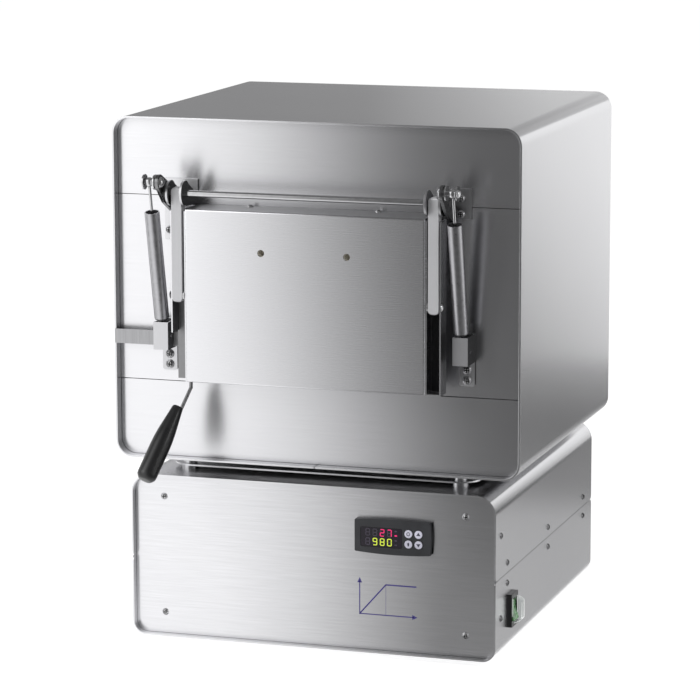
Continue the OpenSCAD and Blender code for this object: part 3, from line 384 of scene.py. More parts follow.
def make_materials():
    """The finishes of the record's slots, and those that some faces or pieces have instead."""
    c = colours()
    brushed_steel("housing_steel", "Y", around="Y")
    brushed_steel("tray_steel", "Y", around="Y", tone=0.98)
    brushed_steel("panel_steel", "YZ", grain=0.7)
    brushed_steel("bracket_steel", "X", tone=0.97, rough=0.38, turn=0.0, grain=0.6)
    brushed_steel("strip_steel", "X", tone=0.62, rough=0.34, turn=0.0, grain=4.0)
    brushed_steel("plate_steel", "Z", tone=0.86, rough=0.30)
    brushed_steel("door_steel", "YZ", tone=1.02, rough=0.27, grain=0.2)
    brushed_steel("front_steel", "YZ", grain=1.6)
    brushed_steel("lift_steel", "X", tone=0.97, rough=0.45, turn=0.0, grain=0.5, metallic=0.35)
    plated_metal("rod_steel", (0.24, 0.24, 0.245), 0.25)
    # painted shade for the spring blocks' sides
    plated_metal("block_side", (0.17, 0.17, 0.175), 0.35)
    # painted shade for the left rail's web
    plated_metal("rail_web", (0.24, 0.24, 0.245), 0.4)
    # painted shade for the door's top
    brushed_steel("door_top", "Y", tone=0.62, rough=0.34)
    # painted shade: the shaft's steel is darker than the other plated parts
    plated_metal("shaft_steel", (0.50, 0.50, 0.51), 0.12)
    # painted shade for the left rail's inner wall and the right rail's web
    plated_metal("rail_shade", (0.16, 0.16, 0.165), 0.5)
    plated_metal("rail_inside", (0.045, 0.045, 0.047), 0.55)
    # the cranks' own dark steel, also painted shade on hinge ears and side screws
    plated_metal("crank_steel", (0.22, 0.22, 0.225), 0.2)
    plated_metal("plated_steel", c.plated[:], 0.16)
    plated_metal("sleeve_steel", (0.42, 0.42, 0.435), 0.28)
    plated_metal("screw_steel", (0.58, 0.58, 0.59), 0.26)
    # painted shade in screw recesses and along the seams
    plated_metal("recess_dark", (0.03, 0.03, 0.032), 0.5)
    plated_metal("spring_steel", (0.12, 0.12, 0.125), 0.35)
    fired_clay("heater_wire", (0.16, 0.12, 0.10), 500.0)
    fired_clay("ceramic_fibre", (0.80, 0.77, 0.70), 120.0)
    fired_clay("fired_ceramic", (0.83, 0.79, 0.72))
    moulded_plastic("black_plastic", c.grip[:], 0.28)
    moulded_plastic("bezel_plastic", c.bezel[:], 0.42)
    moulded_plastic("window_plastic", (0.012, 0.008, 0.016), 0.12, depth=0.0)
    moulded_plastic("key_plastic", (0.62, 0.61, 0.72), 0.4)
    moulded_plastic("green_plastic", (0.035, 0.16, 0.035), 0.25)
    clear_plastic("clear_plastic", (0.97, 0.99, 0.98), 0.03)
    moulded_plastic("cream_plastic", (0.68, 0.64, 0.54), 0.45)
    moulded_plastic("foot_rubber", (0.018, 0.018, 0.019), 0.75)
    glowing("digit_red", c.digit_red[:], 0.95)
    glowing("digit_green", c.digit_green[:], 0.9)
    moulded_plastic("digit_off", (0.060, 0.050, 0.075), 0.4, depth=0.0)
    moulded_plastic("key_mark", (0.035, 0.035, 0.06), 0.5, depth=0.0)
    moulded_plastic("graph_ink", c.print_ink[:], 0.45, depth=0.0)


def slot_of(node):
    for part in frame["record"]["subparts"]:
        if part["node"] == node:
            return part["material_slot"]
    raise RuntimeError(f"no material slot for {node}")


# Sheet metal with rounded edges

ROUNDED = {
    "outer_wrapper": ("oven_housing", 0.5),
    "front_panel_top": ("oven_panel_top", 0.25),
    "front_panel_middle": ("oven_panel_middle", 0.25),
    "front_panel_bottom": ("oven_panel_bottom", 0.25),
    "base_cover": ("cabinet_cover", 0.4),
    "base_tray": ("cabinet_tray", 0.4),
    "base_front_panel": ("cabinet_front", 0.25),
    "base_rear_panel": ("cabinet_rear", 0.25),
    "upper_back_panel": ("oven_rear", 0.25),
    "heat_shield": ("shield_plate", 0.3),
    "pivot_bracket_left": ("hinge_plate_left", 0.5),
    "pivot_bracket_right": ("hinge_plate_right", 0.5),
    "strut_bracket_left": ("spring_block_left", 0.35),
    "strut_bracket_right": ("spring_block_right", 0.35),
    "door_switch_strip": ("switch_strip", 0.2),
    "door_shell": ("door_sheet", 0.0),
    "door_channel_left": ("door_rail_left", 0.25),
    "door_channel_right": ("door_rail_right", 0.25),
    "lift_arms": ("lift_bars", 0.5),
    "cranks": ("crank_plates", 0.5),
    "seam_straps": ("seam_plates", 0.2),
    "controller_body": ("controller_bezel", 0.5),
}
# Finishes other than the slot's; the seam straps' black and the shaft's darker steel are painted
# shade
OTHER_FINISH = {
    "cranks": "crank_steel", "handle_rod": "rod_steel", "base_tray": "tray_steel",
    "base_front_panel": "front_steel", "seam_straps": "recess_dark", "pivot_shaft": "shaft_steel",
    "sleeve_left": "sleeve_steel", "sleeve_right": "sleeve_steel",
    "door_switch_strip": "strip_steel",
    "pivot_bracket_left": "plate_steel", "pivot_bracket_right": "plate_steel",
}


def body_of(node):
    return NODES[node]["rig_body"]


def rounded_copy(node, name, width):
    """A merged copy of a solid whose sharp edges get a small round."""
    source = NODES[node]
    source.hide_viewport = False
    make_active(source)
    bpy.ops.object.duplicate(linked=False)
    copy = newest(name)
    copy.parent = None
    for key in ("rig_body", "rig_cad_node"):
        if key in copy:
            del copy[key]
    edit(copy)
    bpy.ops.mesh.remove_doubles(threshold=MERGE)
    bpy.ops.mesh.dissolve_limited(angle_limit=math.radians(0.4))
    close_edit()
    if width > 0:
        apply_bevel(copy, width * MM, segments=2, angle=40)
    unwrap_for_brush(copy)
    smooth(copy, 30)
    flat_faces_true(copy)
    return copy


def unwrap_for_brush(obj):
    """Box projection, so that the brushing runs along U on every side."""
    for layer in list(obj.data.uv_layers):
        obj.data.uv_layers.remove(layer)
    obj.data.uv_layers.new(name="brush")
    edit(obj)
    bpy.ops.uv.cube_project(cube_size=1.0, scale_to_bounds=False)
    close_edit()


def shade_faces(piece, finish, pick):
    """Gives the picked faces of a piece a second finish."""
    piece.data.materials.append(MATERIALS[finish])
    last = len(piece.data.materials) - 1
    for face in piece.data.polygons:
        if pick(face.normal, face.center):
            face.material_index = last


def paint_rail_shade(rail, node):
    """Paints shade on the web behind a door rail, black on the right where no light falls in."""
    low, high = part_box(node)
    front_edge, outer_wall, inner_wall = 3 * MM, 0.5 * MM, 2 * MM
    right = node.endswith("right")
    shade_faces(rail, "rail_inside" if right else "rail_web",
                lambda normal, spot: normal.y < -SQUARE_ON and spot.y > low.y + front_edge)
    if not right:
        # the left rail's inner wall gets painted shade too
        shade_faces(rail, "rail_shade", lambda normal, spot: normal.x > SQUARE_ON
                    and low.x + outer_wall < spot.x < high.x - inner_wall)


def shade_ears(bracket, node):
    """The ears of a hinge bracket are painted dark as shade, with the cranks' dark steel.

    The right bracket's inner ear stays bright."""
    plate_front, inner_ear = -132 * MM, 5 * MM
    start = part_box(node)[0].x + inner_ear if node.endswith("right") else -math.inf
    shade_faces(bracket, "crank_steel", lambda normal, spot: abs(normal.x) > 0.5
                and spot.y < plate_front and spot.x > start)


def shade_block(block, _):
    """The sides of a spring block are painted darker than its front, as shade."""
    shade_faces(block, "block_side", lambda normal, spot: abs(normal.x) > SQUARE_ON)


def shade_door_upper(door, node):
    """The door's upper side is painted darker than its face, as shade, and is rougher."""
    top_band = 2 * MM
    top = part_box(node)[1].z
    shade_faces(door, "door_top", lambda normal, spot: normal.z > 0.7 and spot.z > top - top_band)


def trim_bezel(bezel, node):
    """Draws the bezel's right margin in and its lower margin down, clear of window and keys."""
    beside_keys, right_in, below_middle, bottom_down = 1.5 * MM, 2.4 * MM, 12 * MM, 1.1 * MM
    low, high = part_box(node)
    keys_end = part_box("key_up")[1].x + beside_keys
    narrow = (high.x - right_in - keys_end) / (high.x - keys_end)
    sill = (low.z + high.z) / 2 - below_middle
    for corner in bezel.data.vertices:
        if corner.co.x > keys_end:
            corner.co.x = keys_end + (corner.co.x - keys_end) * narrow
        if corner.co.z < sill:
            corner.co.z -= bottom_down


# What some sheet pieces get besides, left and right alike: painted shade, and the bezel's trim
TOUCHES = {
    "door_channel": paint_rail_shade, "pivot_bracket": shade_ears, "strut_bracket": shade_block,
    "door_shell": shade_door_upper, "controller_body": trim_bezel,
}


class KILN_OT_sheet_metal(bpy.types.Operator):
    """Rounds the edges of the sheet-metal pieces, gives them their brushed finish, and paints shade
    on some faces
    """
    bl_idname = "kiln.sheet_metal"
    bl_label = "Sheet metal"

    def execute(self, context):
        for node, (name, width) in ROUNDED.items():
            copy = rounded_copy(node, name, width)
            slot = slot_of(node)
            dress(copy, OTHER_FINISH.get(node, slot))
            for start, touch in TOUCHES.items():
                if node.startswith(start):
                    touch(copy, node)
            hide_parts(node)
            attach(copy, body_of(node))
        return {"FINISHED"}


# Screws

SCREWS = {
    "bracket_screws": ("bracket_screw_set", "cabinet"),
    "base_screws": ("cabinet_screw_set", "cabinet"),
    "door_screws": ("door_screw_set", "door"),
}
# painted shade: black in the cross recesses, the dark steel on screws at the sides
SCREW_FINISHES = ("screw_steel", "recess_dark", "crank_steel")
SHADED_RECESS, SHADED_SIDE = 1, 2    # places in SCREW_FINISHES
FRONT_HEAD = 0.82    # width of a head on the cabinet's front, as a share of the solid's


class KILN_OT_screws(bpy.types.Operator):
    """Screw heads whose cross recesses are painted dark as shade"""
    bl_idname = "kiln.screws"
    bl_label = "Screws"

    def execute(self, context):
        for node, (name, body) in SCREWS.items():
            copy = rounded_copy(node, name, 0)
            dress(copy, *SCREW_FINISHES)
            self.finish_heads(copy, FRONT_HEAD if node == "base_screws" else 1.0)
            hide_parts(node)
            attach(copy, body)
        return {"FINISHED"}

    def finish_heads(self, screws, shrink):
        """Finishes each screw of a set; each is a loose part of the mesh."""
        mesh = bmesh.new()
        mesh.from_mesh(screws.data)
        left = set(mesh.faces)
        while left:
            screw, edge = set(), [left.pop()]
            while edge:
                face = edge.pop()
                screw.add(face)
                for side in face.edges:
                    for other in side.link_faces:
                        if other in left:
                            left.discard(other)
                            edge.append(other)
            self.finish_head(screw, shrink)
        mesh.to_mesh(screws.data)
        mesh.free()

    def finish_head(self, screw, shrink):
        """Paints shade black into a head's recess and dark onto a side screw, and draws a front
        screw in.

        The recess lies inside the head's outline, sunk below its crown."""
        on_rim, in_cross, steep, shallow, deep = 0.92, 0.62, 0.4, 0.4 * MM, 2.4 * MM
        points = {v for face in screw for v in face.verts}
        low = Vector([min(v.co[i] for v in points) for i in range(3)])
        high = Vector([max(v.co[i] for v in points) for i in range(3)])
        centre = (low + high) / 2
        spread = [sum(f.calc_area() * abs(f.normal[i]) ** 8 for f in screw) for i in range(3)]
        axis = spread.index(max(spread))
        others = [i for i in range(3) if i != axis]
        reach = max(high[i] - low[i] for i in others) / 2
        rim = [v.co[axis] for v in points
               if math.hypot(*(v.co[i] - centre[i] for i in others)) > reach * on_rim]
        side = 1 if sum(rim) / len(rim) > centre[axis] else -1
        crown = high[axis] if side > 0 else low[axis]
        for face in screw:
            # painted shade: a screw on a side is darker than one on the front
            if axis == 0:
                face.material_index = SHADED_SIDE
            spot = face.calc_center_median()
            away = math.hypot(*(spot[i] - centre[i] for i in others))
            sunk = (crown - spot[axis]) * side
            walled = abs(face.normal[axis]) < steep
            if away < reach * in_cross and (walled or shallow < sunk < deep):
                face.material_index = SHADED_RECESS
        if axis == 1:
            for v in points:
                for i in others:
                    v.co[i] = centre[i] + (v.co[i] - centre[i]) * shrink


class KILN_OT_plain_parts(bpy.types.Operator):
    """Gives every solid the finish of its slot"""
    bl_idname = "kiln.plain_parts"
    bl_label = "Plain parts"

    def execute(self, context):
        for node, obj in NODES.items():
            dress(obj, OTHER_FINISH.get(node, slot_of(node)))
        return {"FINISHED"}


# Handle

GRIP_LENGTH, GRIP_WIDTH = 76 * MM, 18.4 * MM
GRIP_LEAN, GRIP_TURN = math.radians(51.8), math.radians(20)
GRIP_PLACE = Vector((-3 * MM, 1.8 * MM, 21.8 * MM))    # its neck, from the wire's knee
# Stations along the grip and its radius there, each a share of length and width
GRIP_STATIONS = (
    (0.0, 0.40), (0.004, 0.50), (0.02, 0.56), (0.10, 0.64), (0.22, 0.77), (0.34, 0.90),
    (0.45, 0.975), (0.55, 1.0), (0.80, 1.0), (0.925, 1.0), (0.955, 0.965), (0.985, 0.80),
    (1.0, 0.66))


class KILN_OT_grip(bpy.types.Operator):
    """Turned black grip of the handle"""
    bl_idname = "kiln.grip"
    bl_label = "Handle grip"

    def execute(self, context):
        end_edge, end_crown = 1.2 * MM, 0.35 * MM
        deselect()
        bpy.ops.mesh.primitive_circle_add(
            vertices=64, radius=GRIP_STATIONS[0][1] * GRIP_WIDTH / 2, fill_type="NGON",
            location=(0, 0, 0))
        grip = newest("grip_turned")
        edit(grip)
        for (z0, r0), (z1, r1) in zip(GRIP_STATIONS, GRIP_STATIONS[1:]):
            extrude(0, 0, (z1 - z0) * GRIP_LENGTH)
            grow(r1 / r0, r1 / r0, 1, about=(0, 0, z1 * GRIP_LENGTH))
        bpy.ops.mesh.inset(thickness=end_edge)
        bpy.ops.transform.translate(value=(0, 0, end_crown))
        close_edit()
        outward(grip)
        grip.data.transform(Matrix.Translation(handle_knee())
                            @ Matrix.Rotation(-GRIP_TURN, 4, "Z")
                            @ Matrix.Rotation(math.pi / 2 + GRIP_LEAN, 4, "X")
                            @ Matrix.Translation(GRIP_PLACE))
        smooth(grip, 40)
        dress(grip, "black_plastic")
        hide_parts("handle_grip")
        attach(grip, "door")
        return {"FINISHED"}


def handle_knee():
    """The wire's bend under the door, from the door's lower left front corner."""
    inward, behind, below = 3.2 * MM, 3.5 * MM, 5.5 * MM
    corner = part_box("door_shell")[0]
    return Vector((corner.x + inward, corner.y + behind, corner.z - below))


# Thin plates for digits, marks and print

def upright_plane(name):
    """A square of 1 m that faces -Y, to be drawn to size."""
    deselect()
    bpy.ops.mesh.primitive_plane_add(size=1, location=(0, 0, 0), rotation=(math.pi / 2, 0, 0))
    plane = newest(name)
    settle(plane)
    return plane


def upright_disc(name, radius, vertices):
    """A flat disc that faces -Y."""
    deselect()
    bpy.ops.mesh.primitive_circle_add(vertices=vertices, radius=radius, fill_type="NGON",
                                      location=(0, 0, 0), rotation=(math.pi / 2, 0, 0))
    disc = newest(name)
    settle(disc)
    return disc


def thicken(plate, height):
    """Gives a flat plate its thickness, towards -Y."""
    edit(plate)
    extrude(0, -height, 0)
    close_edit()
    outward(plate)


def disc_plate(name, radius, height, vertices):
    """A thin disc facing -Y."""
    plate = upright_disc(name, radius, vertices)
    thicken(plate, height)
    return plate


def stroke_plate(name, start, end, width, height):
    """A straight printed line in the X-Z plane between two points."""
    along = end - start
    plate = upright_plane(name)
    edit(plate)
    grow(along.length, 1, width)
    close_edit()
    thicken(plate, height)
    angle = math.atan2(along.z, along.x)
    plate.data.transform(Matrix.Translation((start + end) / 2) @ Matrix.Rotation(-angle, 4, "Y"))
    return plate


def hex_bar(name, length, width, height):
    """A display segment: a thin bar along X with pointed ends."""
    near_end, point = 0.49, 0.02
    bar = upright_plane(name)
    edit(bar)
    grow(length - width, 1, width)
    close_edit()
    for side in (-1, 1):
        edit(bar, lambda e, s=side: all(v.co.x * s > (length - width) * near_end for v in e.verts),
             "EDGE")
        extrude(side * width / 2, 0, 0)
        grow(1, 1, point, about=(side * length / 2, 0, 0))
        close_edit()
    thicken(bar, height)
    return bar


def ring_plate(name):
    """A ring, for the left upper key."""
    plate = disc_plate(name, 1.75 * MM, MARK_HEIGHT, 28)
    edit(plate, lambda f: abs(f.normal.y) > SQUARE_ON and len(f.verts) > 8)
    bpy.ops.mesh.inset(thickness=0.6 * MM)
    bpy.ops.mesh.delete(type="FACE")
    close_edit()
    edit(plate, lambda e: e.is_boundary, "EDGE")
    bpy.ops.mesh.bridge_edge_loops()
    close_edit()
    outward(plate)
    return plate


def bar_plate(name):
    """A short upright bar, for the left lower key."""
    plate = disc_plate(name, 1.8 * MM, MARK_HEIGHT, 12)
    plate.data.transform(Matrix.Diagonal((0.5, 1, 1, 1)))
    return plate


def arrow_up(name):
    """A triangle that stands on one side."""
    return disc_plate(name, 1.6 * MM, MARK_HEIGHT, 3)


def arrow_down(name):
    plate = arrow_up(name)
    plate.data.transform(Matrix.Rotation(math.pi, 4, "Y"))
    return plate


def copied(source, name, place):
    """An own copy of a small piece, put in place."""
    make_active(source)
    bpy.ops.object.duplicate(linked=False)
    copy = newest(name)
    copy.data.transform(place)
    return copy


def joined(parts, name):
    make_active(parts[0])
    for part in parts:
        part.select_set(True)
    bpy.ops.object.join()
    return newest(name)


# Controller

SEGMENTS = {"2": "abged", "7": "abc", "9": "abcdfg", "8": "abcdefg", "0": "abcdef"}
# Each row of digits: its rise above the window's middle, its text and its lit finish
DIGIT_ROWS = {"upper": (4.4 * MM, "  27", "digit_red"), "lower": (-4.2 * MM, " 980", "digit_green")}
FIRST_DIGIT = 6.6 * MM    # from the window's left edge
DIGIT_WIDTH, DIGIT_STROKE, DIGIT_SPAN = 0.54, 0.125, 0.92    # shares of the digit's height
SEGMENT_GAP = 0.2    # share of the stroke
LAMP_RADIUS, LAMP_IN, LAMP_SHAPE = 0.85 * MM, 6.0 * MM, (1.6, 1, 0.8, 1)
LAMP_RISES, LIT_LAMP = (6.4, 2.4, -2.2, -6.2), 1    # in mm above the middle; the lit one
MARK_SINK, ARROW_SHAPE = 0.12 * MM, (1.45, 1, 1.25, 1)
KEYS = {"key_menu": ring_plate, "key_set": bar_plate, "key_up": arrow_up, "key_down": arrow_down}


def on_front(node, sink=0.0):
    """The middle of a solid's front, or a place sunk behind it."""
    low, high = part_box(node)
    return Matrix.Translation(((low.x + high.x) / 2, low.y + sink, (low.z + high.z) / 2))


def digit_places(height, width):
    """Where each segment of a digit lies: (x, z, upright)."""
    half, side = height / 2, width / 2
    return {
        "a": (0, half, False), "g": (0, 0, False), "d": (0, -half, False),
        "f": (-side, half / 2, True), "b": (side, half / 2, True),
        "e": (-side, -half / 2, True), "c": (side, -half / 2, True),
    }


def lay_digit(bars, letters, centre, places, name):
    """Copies of the lying and the standing bar, for the lettered segments of one digit."""
    parts = []
    for letter in letters:
        x, z, upright = places[letter]
        place = Matrix.Translation(centre + Vector((x, 0, z)))
        parts.append(copied(bars[upright], name + letter, place))
    return parts


class KILN_OT_controller(bpy.types.Operator):
    """Window digits, lamps and key marks of the temperature controller"""
    bl_idname = "kiln.controller"
    bl_label = "Controller"

    def execute(self, context):
        low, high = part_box("controller_window")
        mid_z = (low.z + high.z) / 2
        self.digits(low, mid_z)
        self.lamps(high.x - LAMP_IN, low.y, mid_z)
        self.key_marks()
        return {"FINISHED"}

    def digits(self, low, mid_z):
        """Two rows of four digits, each row with its lit segments and its dark ones."""
        s = sizes()
        height, width = s.digit_height, s.digit_height * DIGIT_WIDTH
        stroke = height * DIGIT_STROKE
        gap = stroke * SEGMENT_GAP
        places = digit_places(height * DIGIT_SPAN, width)
        flat = hex_bar("bar_flat", width - gap, stroke, s.print_height)
        upright = copied(flat, "bar_up", Matrix.Rotation(math.pi / 2, 4, "Y"))
        upright.data.transform(Matrix.Diagonal((1, 1, (height / 2 - gap) / (width - gap), 1)))
        bars = (flat, upright)
        for row, (rise, text, finish) in DIGIT_ROWS.items():
            lit, ghost = [], []
            for i, letter in enumerate(text):
                centre = Vector((low.x + FIRST_DIGIT + i * s.digit_pitch, low.y, mid_z + rise))
                on = SEGMENTS.get(letter, "")
                off = "".join(c for c in "abcdefg" if c not in on)
                lit += lay_digit(bars, on, centre, places, f"{row}{i}")
                ghost += lay_digit(bars, off, centre, places, f"{row}g{i}")
            for parts, name, look in ((lit, f"digits_{row}", finish),
                                      (ghost, f"digits_{row}_off", "digit_off")):
                piece = joined(parts, name)
                outward(piece)
                dress(piece, look)
                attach(piece, "cabinet")
        for bar in bars:
            bpy.data.objects.remove(bar)

    def lamps(self, x, face, mid_z):
        """Four small lamps at the window's right side; the second one is lit."""
        for i, rise in enumerate(LAMP_RISES):
            lamp = disc_plate(f"lamp_{i}", LAMP_RADIUS, sizes().print_height, 16)
            place = Matrix.Translation((x, face, mid_z + rise * MM))
            lamp.data.transform(place @ Matrix.Diagonal(LAMP_SHAPE))
            dress(lamp, "digit_red" if i == LIT_LAMP else "digit_off")
            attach(lamp, "cabinet")

    def key_marks(self):
        """A sign on each key, sunk a little into its cap."""
        for node, shape in KEYS.items():
            mark = shape("mark_" + node)
            if node in ("key_up", "key_down"):
                mark.data.transform(Matrix.Diagonal(ARROW_SHAPE))
            mark.data.transform(on_front(node, MARK_SINK))
            dress(mark, "key_mark")
            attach(mark, body_of(node))


KEY_TRAVEL, KEY_CLEAR = 0.7 * MM, 0.05 * MM
CAP_OVER_STEM, CAP_THICK, STEM_EASE = 0.4 * MM, 0.42 * MM, 0.02 * MM
# A cap from its face back: depth as a share of its thickness, and how far in from its rim
CAP_RINGS = ((0.0, 0.9 * MM), (0.15, 0.35 * MM), (0.5, 0.06 * MM), (0.75, 0.0), (1.0, 0.05 * MM))


class KILN_OT_keys(bpy.types.Operator):
    """Four round keys with soft domed caps"""
    bl_idname = "kiln.keys"
    bl_label = "Keys"

    def execute(self, context):
        first = self.cap()
        for node in KEYS:
            cap = copied(first, "cap_" + node, on_front(node))
            outward(cap)
            smooth(cap, 50)
            dress(cap, "key_plastic")
            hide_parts(node)
            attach(cap, body_of(node))
        bpy.data.objects.remove(first)
        return {"FINISHED"}

    def cap(self):
        """A cap that widens from its face to its rim, with a stem behind.

        Its rim is thin enough to stay clear of the bezel when the key is pressed."""
        low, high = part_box("key_menu")
        stem = (high.x - low.x) / 2
        rim = stem + CAP_OVER_STEM
        front_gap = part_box("controller_body")[0].y - low.y
        thick = min(CAP_THICK, front_gap - KEY_TRAVEL - KEY_CLEAR)
        rings = [(share * thick, rim - inset) for share, inset in CAP_RINGS]
        cap = upright_disc("key_cap", rings[0][1], 40)
        edit(cap)
        for (y0, r0), (y1, r1) in zip(rings, rings[1:]):
            extrude(0, y1 - y0, 0)
            grow(r1 / r0, 1, r1 / r0)
        back, behind = rings[-1]
        extrude(0, 0, 0)
        grow((stem - STEM_EASE) / behind, 1, (stem - STEM_EASE) / behind)
        extrude(0, high.y - low.y - back, 0)
        close_edit()
        outward(cap)
        return cap


# Printed graph

GRAPH_ORIGIN = (44.7 * MM, 40.6 * MM)    # x and z
GRAPH_RISE, GRAPH_AXIS_UP, GRAPH_AXIS_RIGHT = 28.6 * MM, 30.8 * MM, 51.8 * MM
GRAPH_KNEE, GRAPH_END = 25.0 * MM, 54.0 * MM    # along the time axis
AXIS_WIDTH, DROP_WIDTH = 0.75, 0.3    # shares of the next wider line
CURVE_HEIGHT, DROP_HEIGHT = 0.9, 0.8    # shares of the print's height
HEAD_SHAPE = (1.65, 2.1)    # an axis's arrow head, x and z


class KILN_OT_graph(bpy.types.Operator):
    """Printed graph of temperature over time on the cabinet's front"""
    bl_idname = "kiln.graph"
    bl_label = "Printed graph"

    def execute(self, context):
        s = sizes()
        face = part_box("base_front_panel")[0].y
        origin = Vector((GRAPH_ORIGIN[0], face, GRAPH_ORIGIN[1]))
        knee = origin + Vector((GRAPH_KNEE, 0, GRAPH_RISE))
        hold = origin + Vector((GRAPH_END, 0, GRAPH_RISE))
        top = origin + Vector((0, 0, GRAPH_AXIS_UP))
        right = origin + Vector((GRAPH_AXIS_RIGHT, 0, 0))
        foot = Vector((knee.x, face, origin.z))
        wide, thin, high = s.line_width, s.line_width * AXIS_WIDTH, s.print_height
        curve = high * CURVE_HEIGHT
        overlap = Vector((0.2 * MM, 0, 0))
        parts = [
            stroke_plate("graph_rise_axis", origin - Vector((0, 0, wide / 2)), top, thin, high),
            stroke_plate("graph_time_axis", origin, right, thin, high),
            stroke_plate("graph_ramp", origin, knee, wide, curve),
            stroke_plate("graph_hold", knee - overlap, hold, wide, curve),
            stroke_plate("graph_drop", knee, foot, thin * DROP_WIDTH, high * DROP_HEIGHT),
        ]
        shape = Matrix.Diagonal((HEAD_SHAPE[0], high / MARK_HEIGHT, HEAD_SHAPE[1], 1))
        for name, tip, turn in (("graph_head_up", top, 0),
                                ("graph_head_right", right, math.pi / 2)):
            head = arrow_up(name)
            head.data.transform(shape)
            head.data.transform(Matrix.Translation(tip) @ Matrix.Rotation(turn, 4, "Y"))
            parts.append(head)
        for part in parts:
            dress(part, "graph_ink")
            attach(part, "cabinet")
        return {"FINISHED"}


# Power switch

DOME_RISE, DOME_TOP, DOME_ROUND = 0.8, 0.72, 2.6 * MM    # rise and top as shares
ROCKER_SPREAD = 1.24    # share of the solid rocker's width
RIM_REACH, ROCKER_REACH = 1.0 * MM, 0.4 * MM


class KILN_OT_power_switch(bpy.types.Operator):
    """Clear dome over the power switch"""
    bl_idname = "kiln.power_switch"
    bl_label = "Power switch"

    def execute(self, context):
        self.rim_and_rocker()
        low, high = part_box("switch_cover")
        high.x = low.x + (high.x - low.x) * DOME_RISE
        centre = (low + high) / 2
        deselect()
        bpy.ops.mesh.primitive_cube_add(size=1, location=centre)
        dome = newest("switch_dome")
        dome.scale = high - low
        settle(dome)
        edit(dome, lambda f: f.normal.x > SQUARE_ON)
        grow(1, DOME_TOP, DOME_TOP, about=tuple(centre))
        close_edit()
        apply_bevel(dome, DOME_ROUND, segments=5, angle=20)
        edit(dome, lambda f: f.normal.x < -0.95)
        bpy.ops.mesh.delete(type="FACE")
        close_edit()
        make_active(dome)
        wall = dome.modifiers.new("Wall", "SOLIDIFY")
        wall.thickness = sizes().dome_wall
        wall.offset = -1
        bpy.ops.object.modifier_apply(modifier=wall.name)
        smooth(dome, 50)
        dress(dome, "clear_plastic")
        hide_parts("switch_cover")
        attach(dome, "cabinet")
        return {"FINISHED"}

    def rim_and_rocker(self):
        """The frame with a narrower rim than the solid's, and the rocker that fills it."""
        low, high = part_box("power_rocker")
        middle, half = (low.y + high.y) / 2, (high.y - low.y) / 2
        for node, name, body, reach in (
                ("switch_frame", "switch_rim", "cabinet", half + RIM_REACH),
                ("power_rocker", "rocker_cap", "rocker", half + ROCKER_REACH)):
            copy = rounded_copy(node, name, 0)
            for corner in copy.data.vertices:
                away = corner.co.y - middle
                if abs(away) < reach:
                    corner.co.y = middle + away * ROCKER_SPREAD
            smooth(copy, 30)
            dress(copy, slot_of(node))
            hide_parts(node)
            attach(copy, body)


# Stage

WORLD_LIGHT, FLOOR_GLOW = 0.55, 0.65
KILN_MIDDLE = Vector((0, 0, 0.25))

FOCAL, FRAME_WIDTH, SENSOR_WIDTH = 3336.6, 700, 36.0    # pixels, pixels, millimetres
CAMERA_TURNS = (-0.3112, 0.1772, -0.0023)    # yaw, pitch and roll in radians
CAMERA_PLACE = (0.94359, -2.82613, 0.81563)    # Y counted from the oven's front edge

# Cards that polished steel mirrors: two opposite corners, the direction of the grading,
# and stops, each a distance along that direction and the brightness there
FRONT_STOPS = tuple((at + 0.039, level) for at, level in (
    (-1.3, 0.35), (-0.8, 1.1), (-0.328, 1.44), (-0.252, 1.36), (-0.209, 1.20), (-0.166, 1.00),
    (-0.144, 0.87), (-0.091, 0.56), (-0.037, 0.31), (0.007, 0.18), (0.071, 0.13), (0.5, 0.13),
    (0.9, 0.35), (1.3, 0.6)))
LOW_STOPS = tuple((at + 0.165, max(level, 0.31)) for at, level in FRONT_STOPS)
CARDS = {
    "card_front": ((-1.3, -0.5, 0.0), (1.3, -0.5, 0.95), (1, 0, 0.15), FRONT_STOPS),
    "card_front_low": ((-1.3, -0.5, 0.0008), (1.3, -0.137, 0.0008), (1, -0.33, 0), LOW_STOPS),
    "card_over": ((-1.3, -0.5, 0.95), (1.3, 1.6, 0.95), (0, 1, 0), ((-0.5, 0.22), (1.6, 0.3))),
    "card_right": ((0.5, 0.2, 0.0), (0.5, 2.4, 0.72), (0, 0.7, 1), (
        (0.50, 0.04), (0.58, 0.06), (0.63, 0.14), (0.68, 0.42), (0.74, 0.82), (0.81, 1.0),
        (0.93, 1.16), (1.1, 1.3))),
    "card_right_low": ((0.18, -0.2, 0.0008), (0.5, 1.4, 0.0008), (0, 1, 0), (
        (-0.2, 0.60), (0.46, 0.58), (0.60, 0.34), (1.4, 0.34))),
    "card_back": ((-1.8, 1.6, 0.2), (0.35, 1.6, 2.0), (1, 0, 0), (
        (-1.8, 0.33), (-0.7, 0.33), (-0.5, 0.38), (-0.34, 0.74), (-0.22, 1.08), (0.35, 1.28))),
}


def looked_at(tree):
    """1 for the camera, for glass and for gloss, and 0 for soft light."""
    path = add_node(tree, "ShaderNodeLightPath")
    last = path.outputs["Is Camera Ray"]
    for ray in ("Is Transmission Ray", "Is Glossy Ray"):
        either = add_node(tree, "ShaderNodeMath", operation="ADD", use_clamp=True)
        tree.links.new(last, either.inputs[0])
        link(tree, path, ray, either, 1)
        last = either.outputs[0]
    return last


def placed(data, matrix):
    """Puts a light or the camera into the scene."""
    obj = bpy.data.objects.new(data.name, data)
    bpy.context.scene.collection.objects.link(obj)
    obj.matrix_world = matrix
    return obj


def soft_box(name, place, width, power):
    """A square area light, turned to the kiln."""
    data = bpy.data.lights.new(name, "AREA")
    data.size = width
    data.energy = power
    turn = (KILN_MIDDLE - Vector(place)).to_track_quat("-Z", "Y")
    placed(data, Matrix.Translation(place) @ turn.to_matrix().to_4x4())


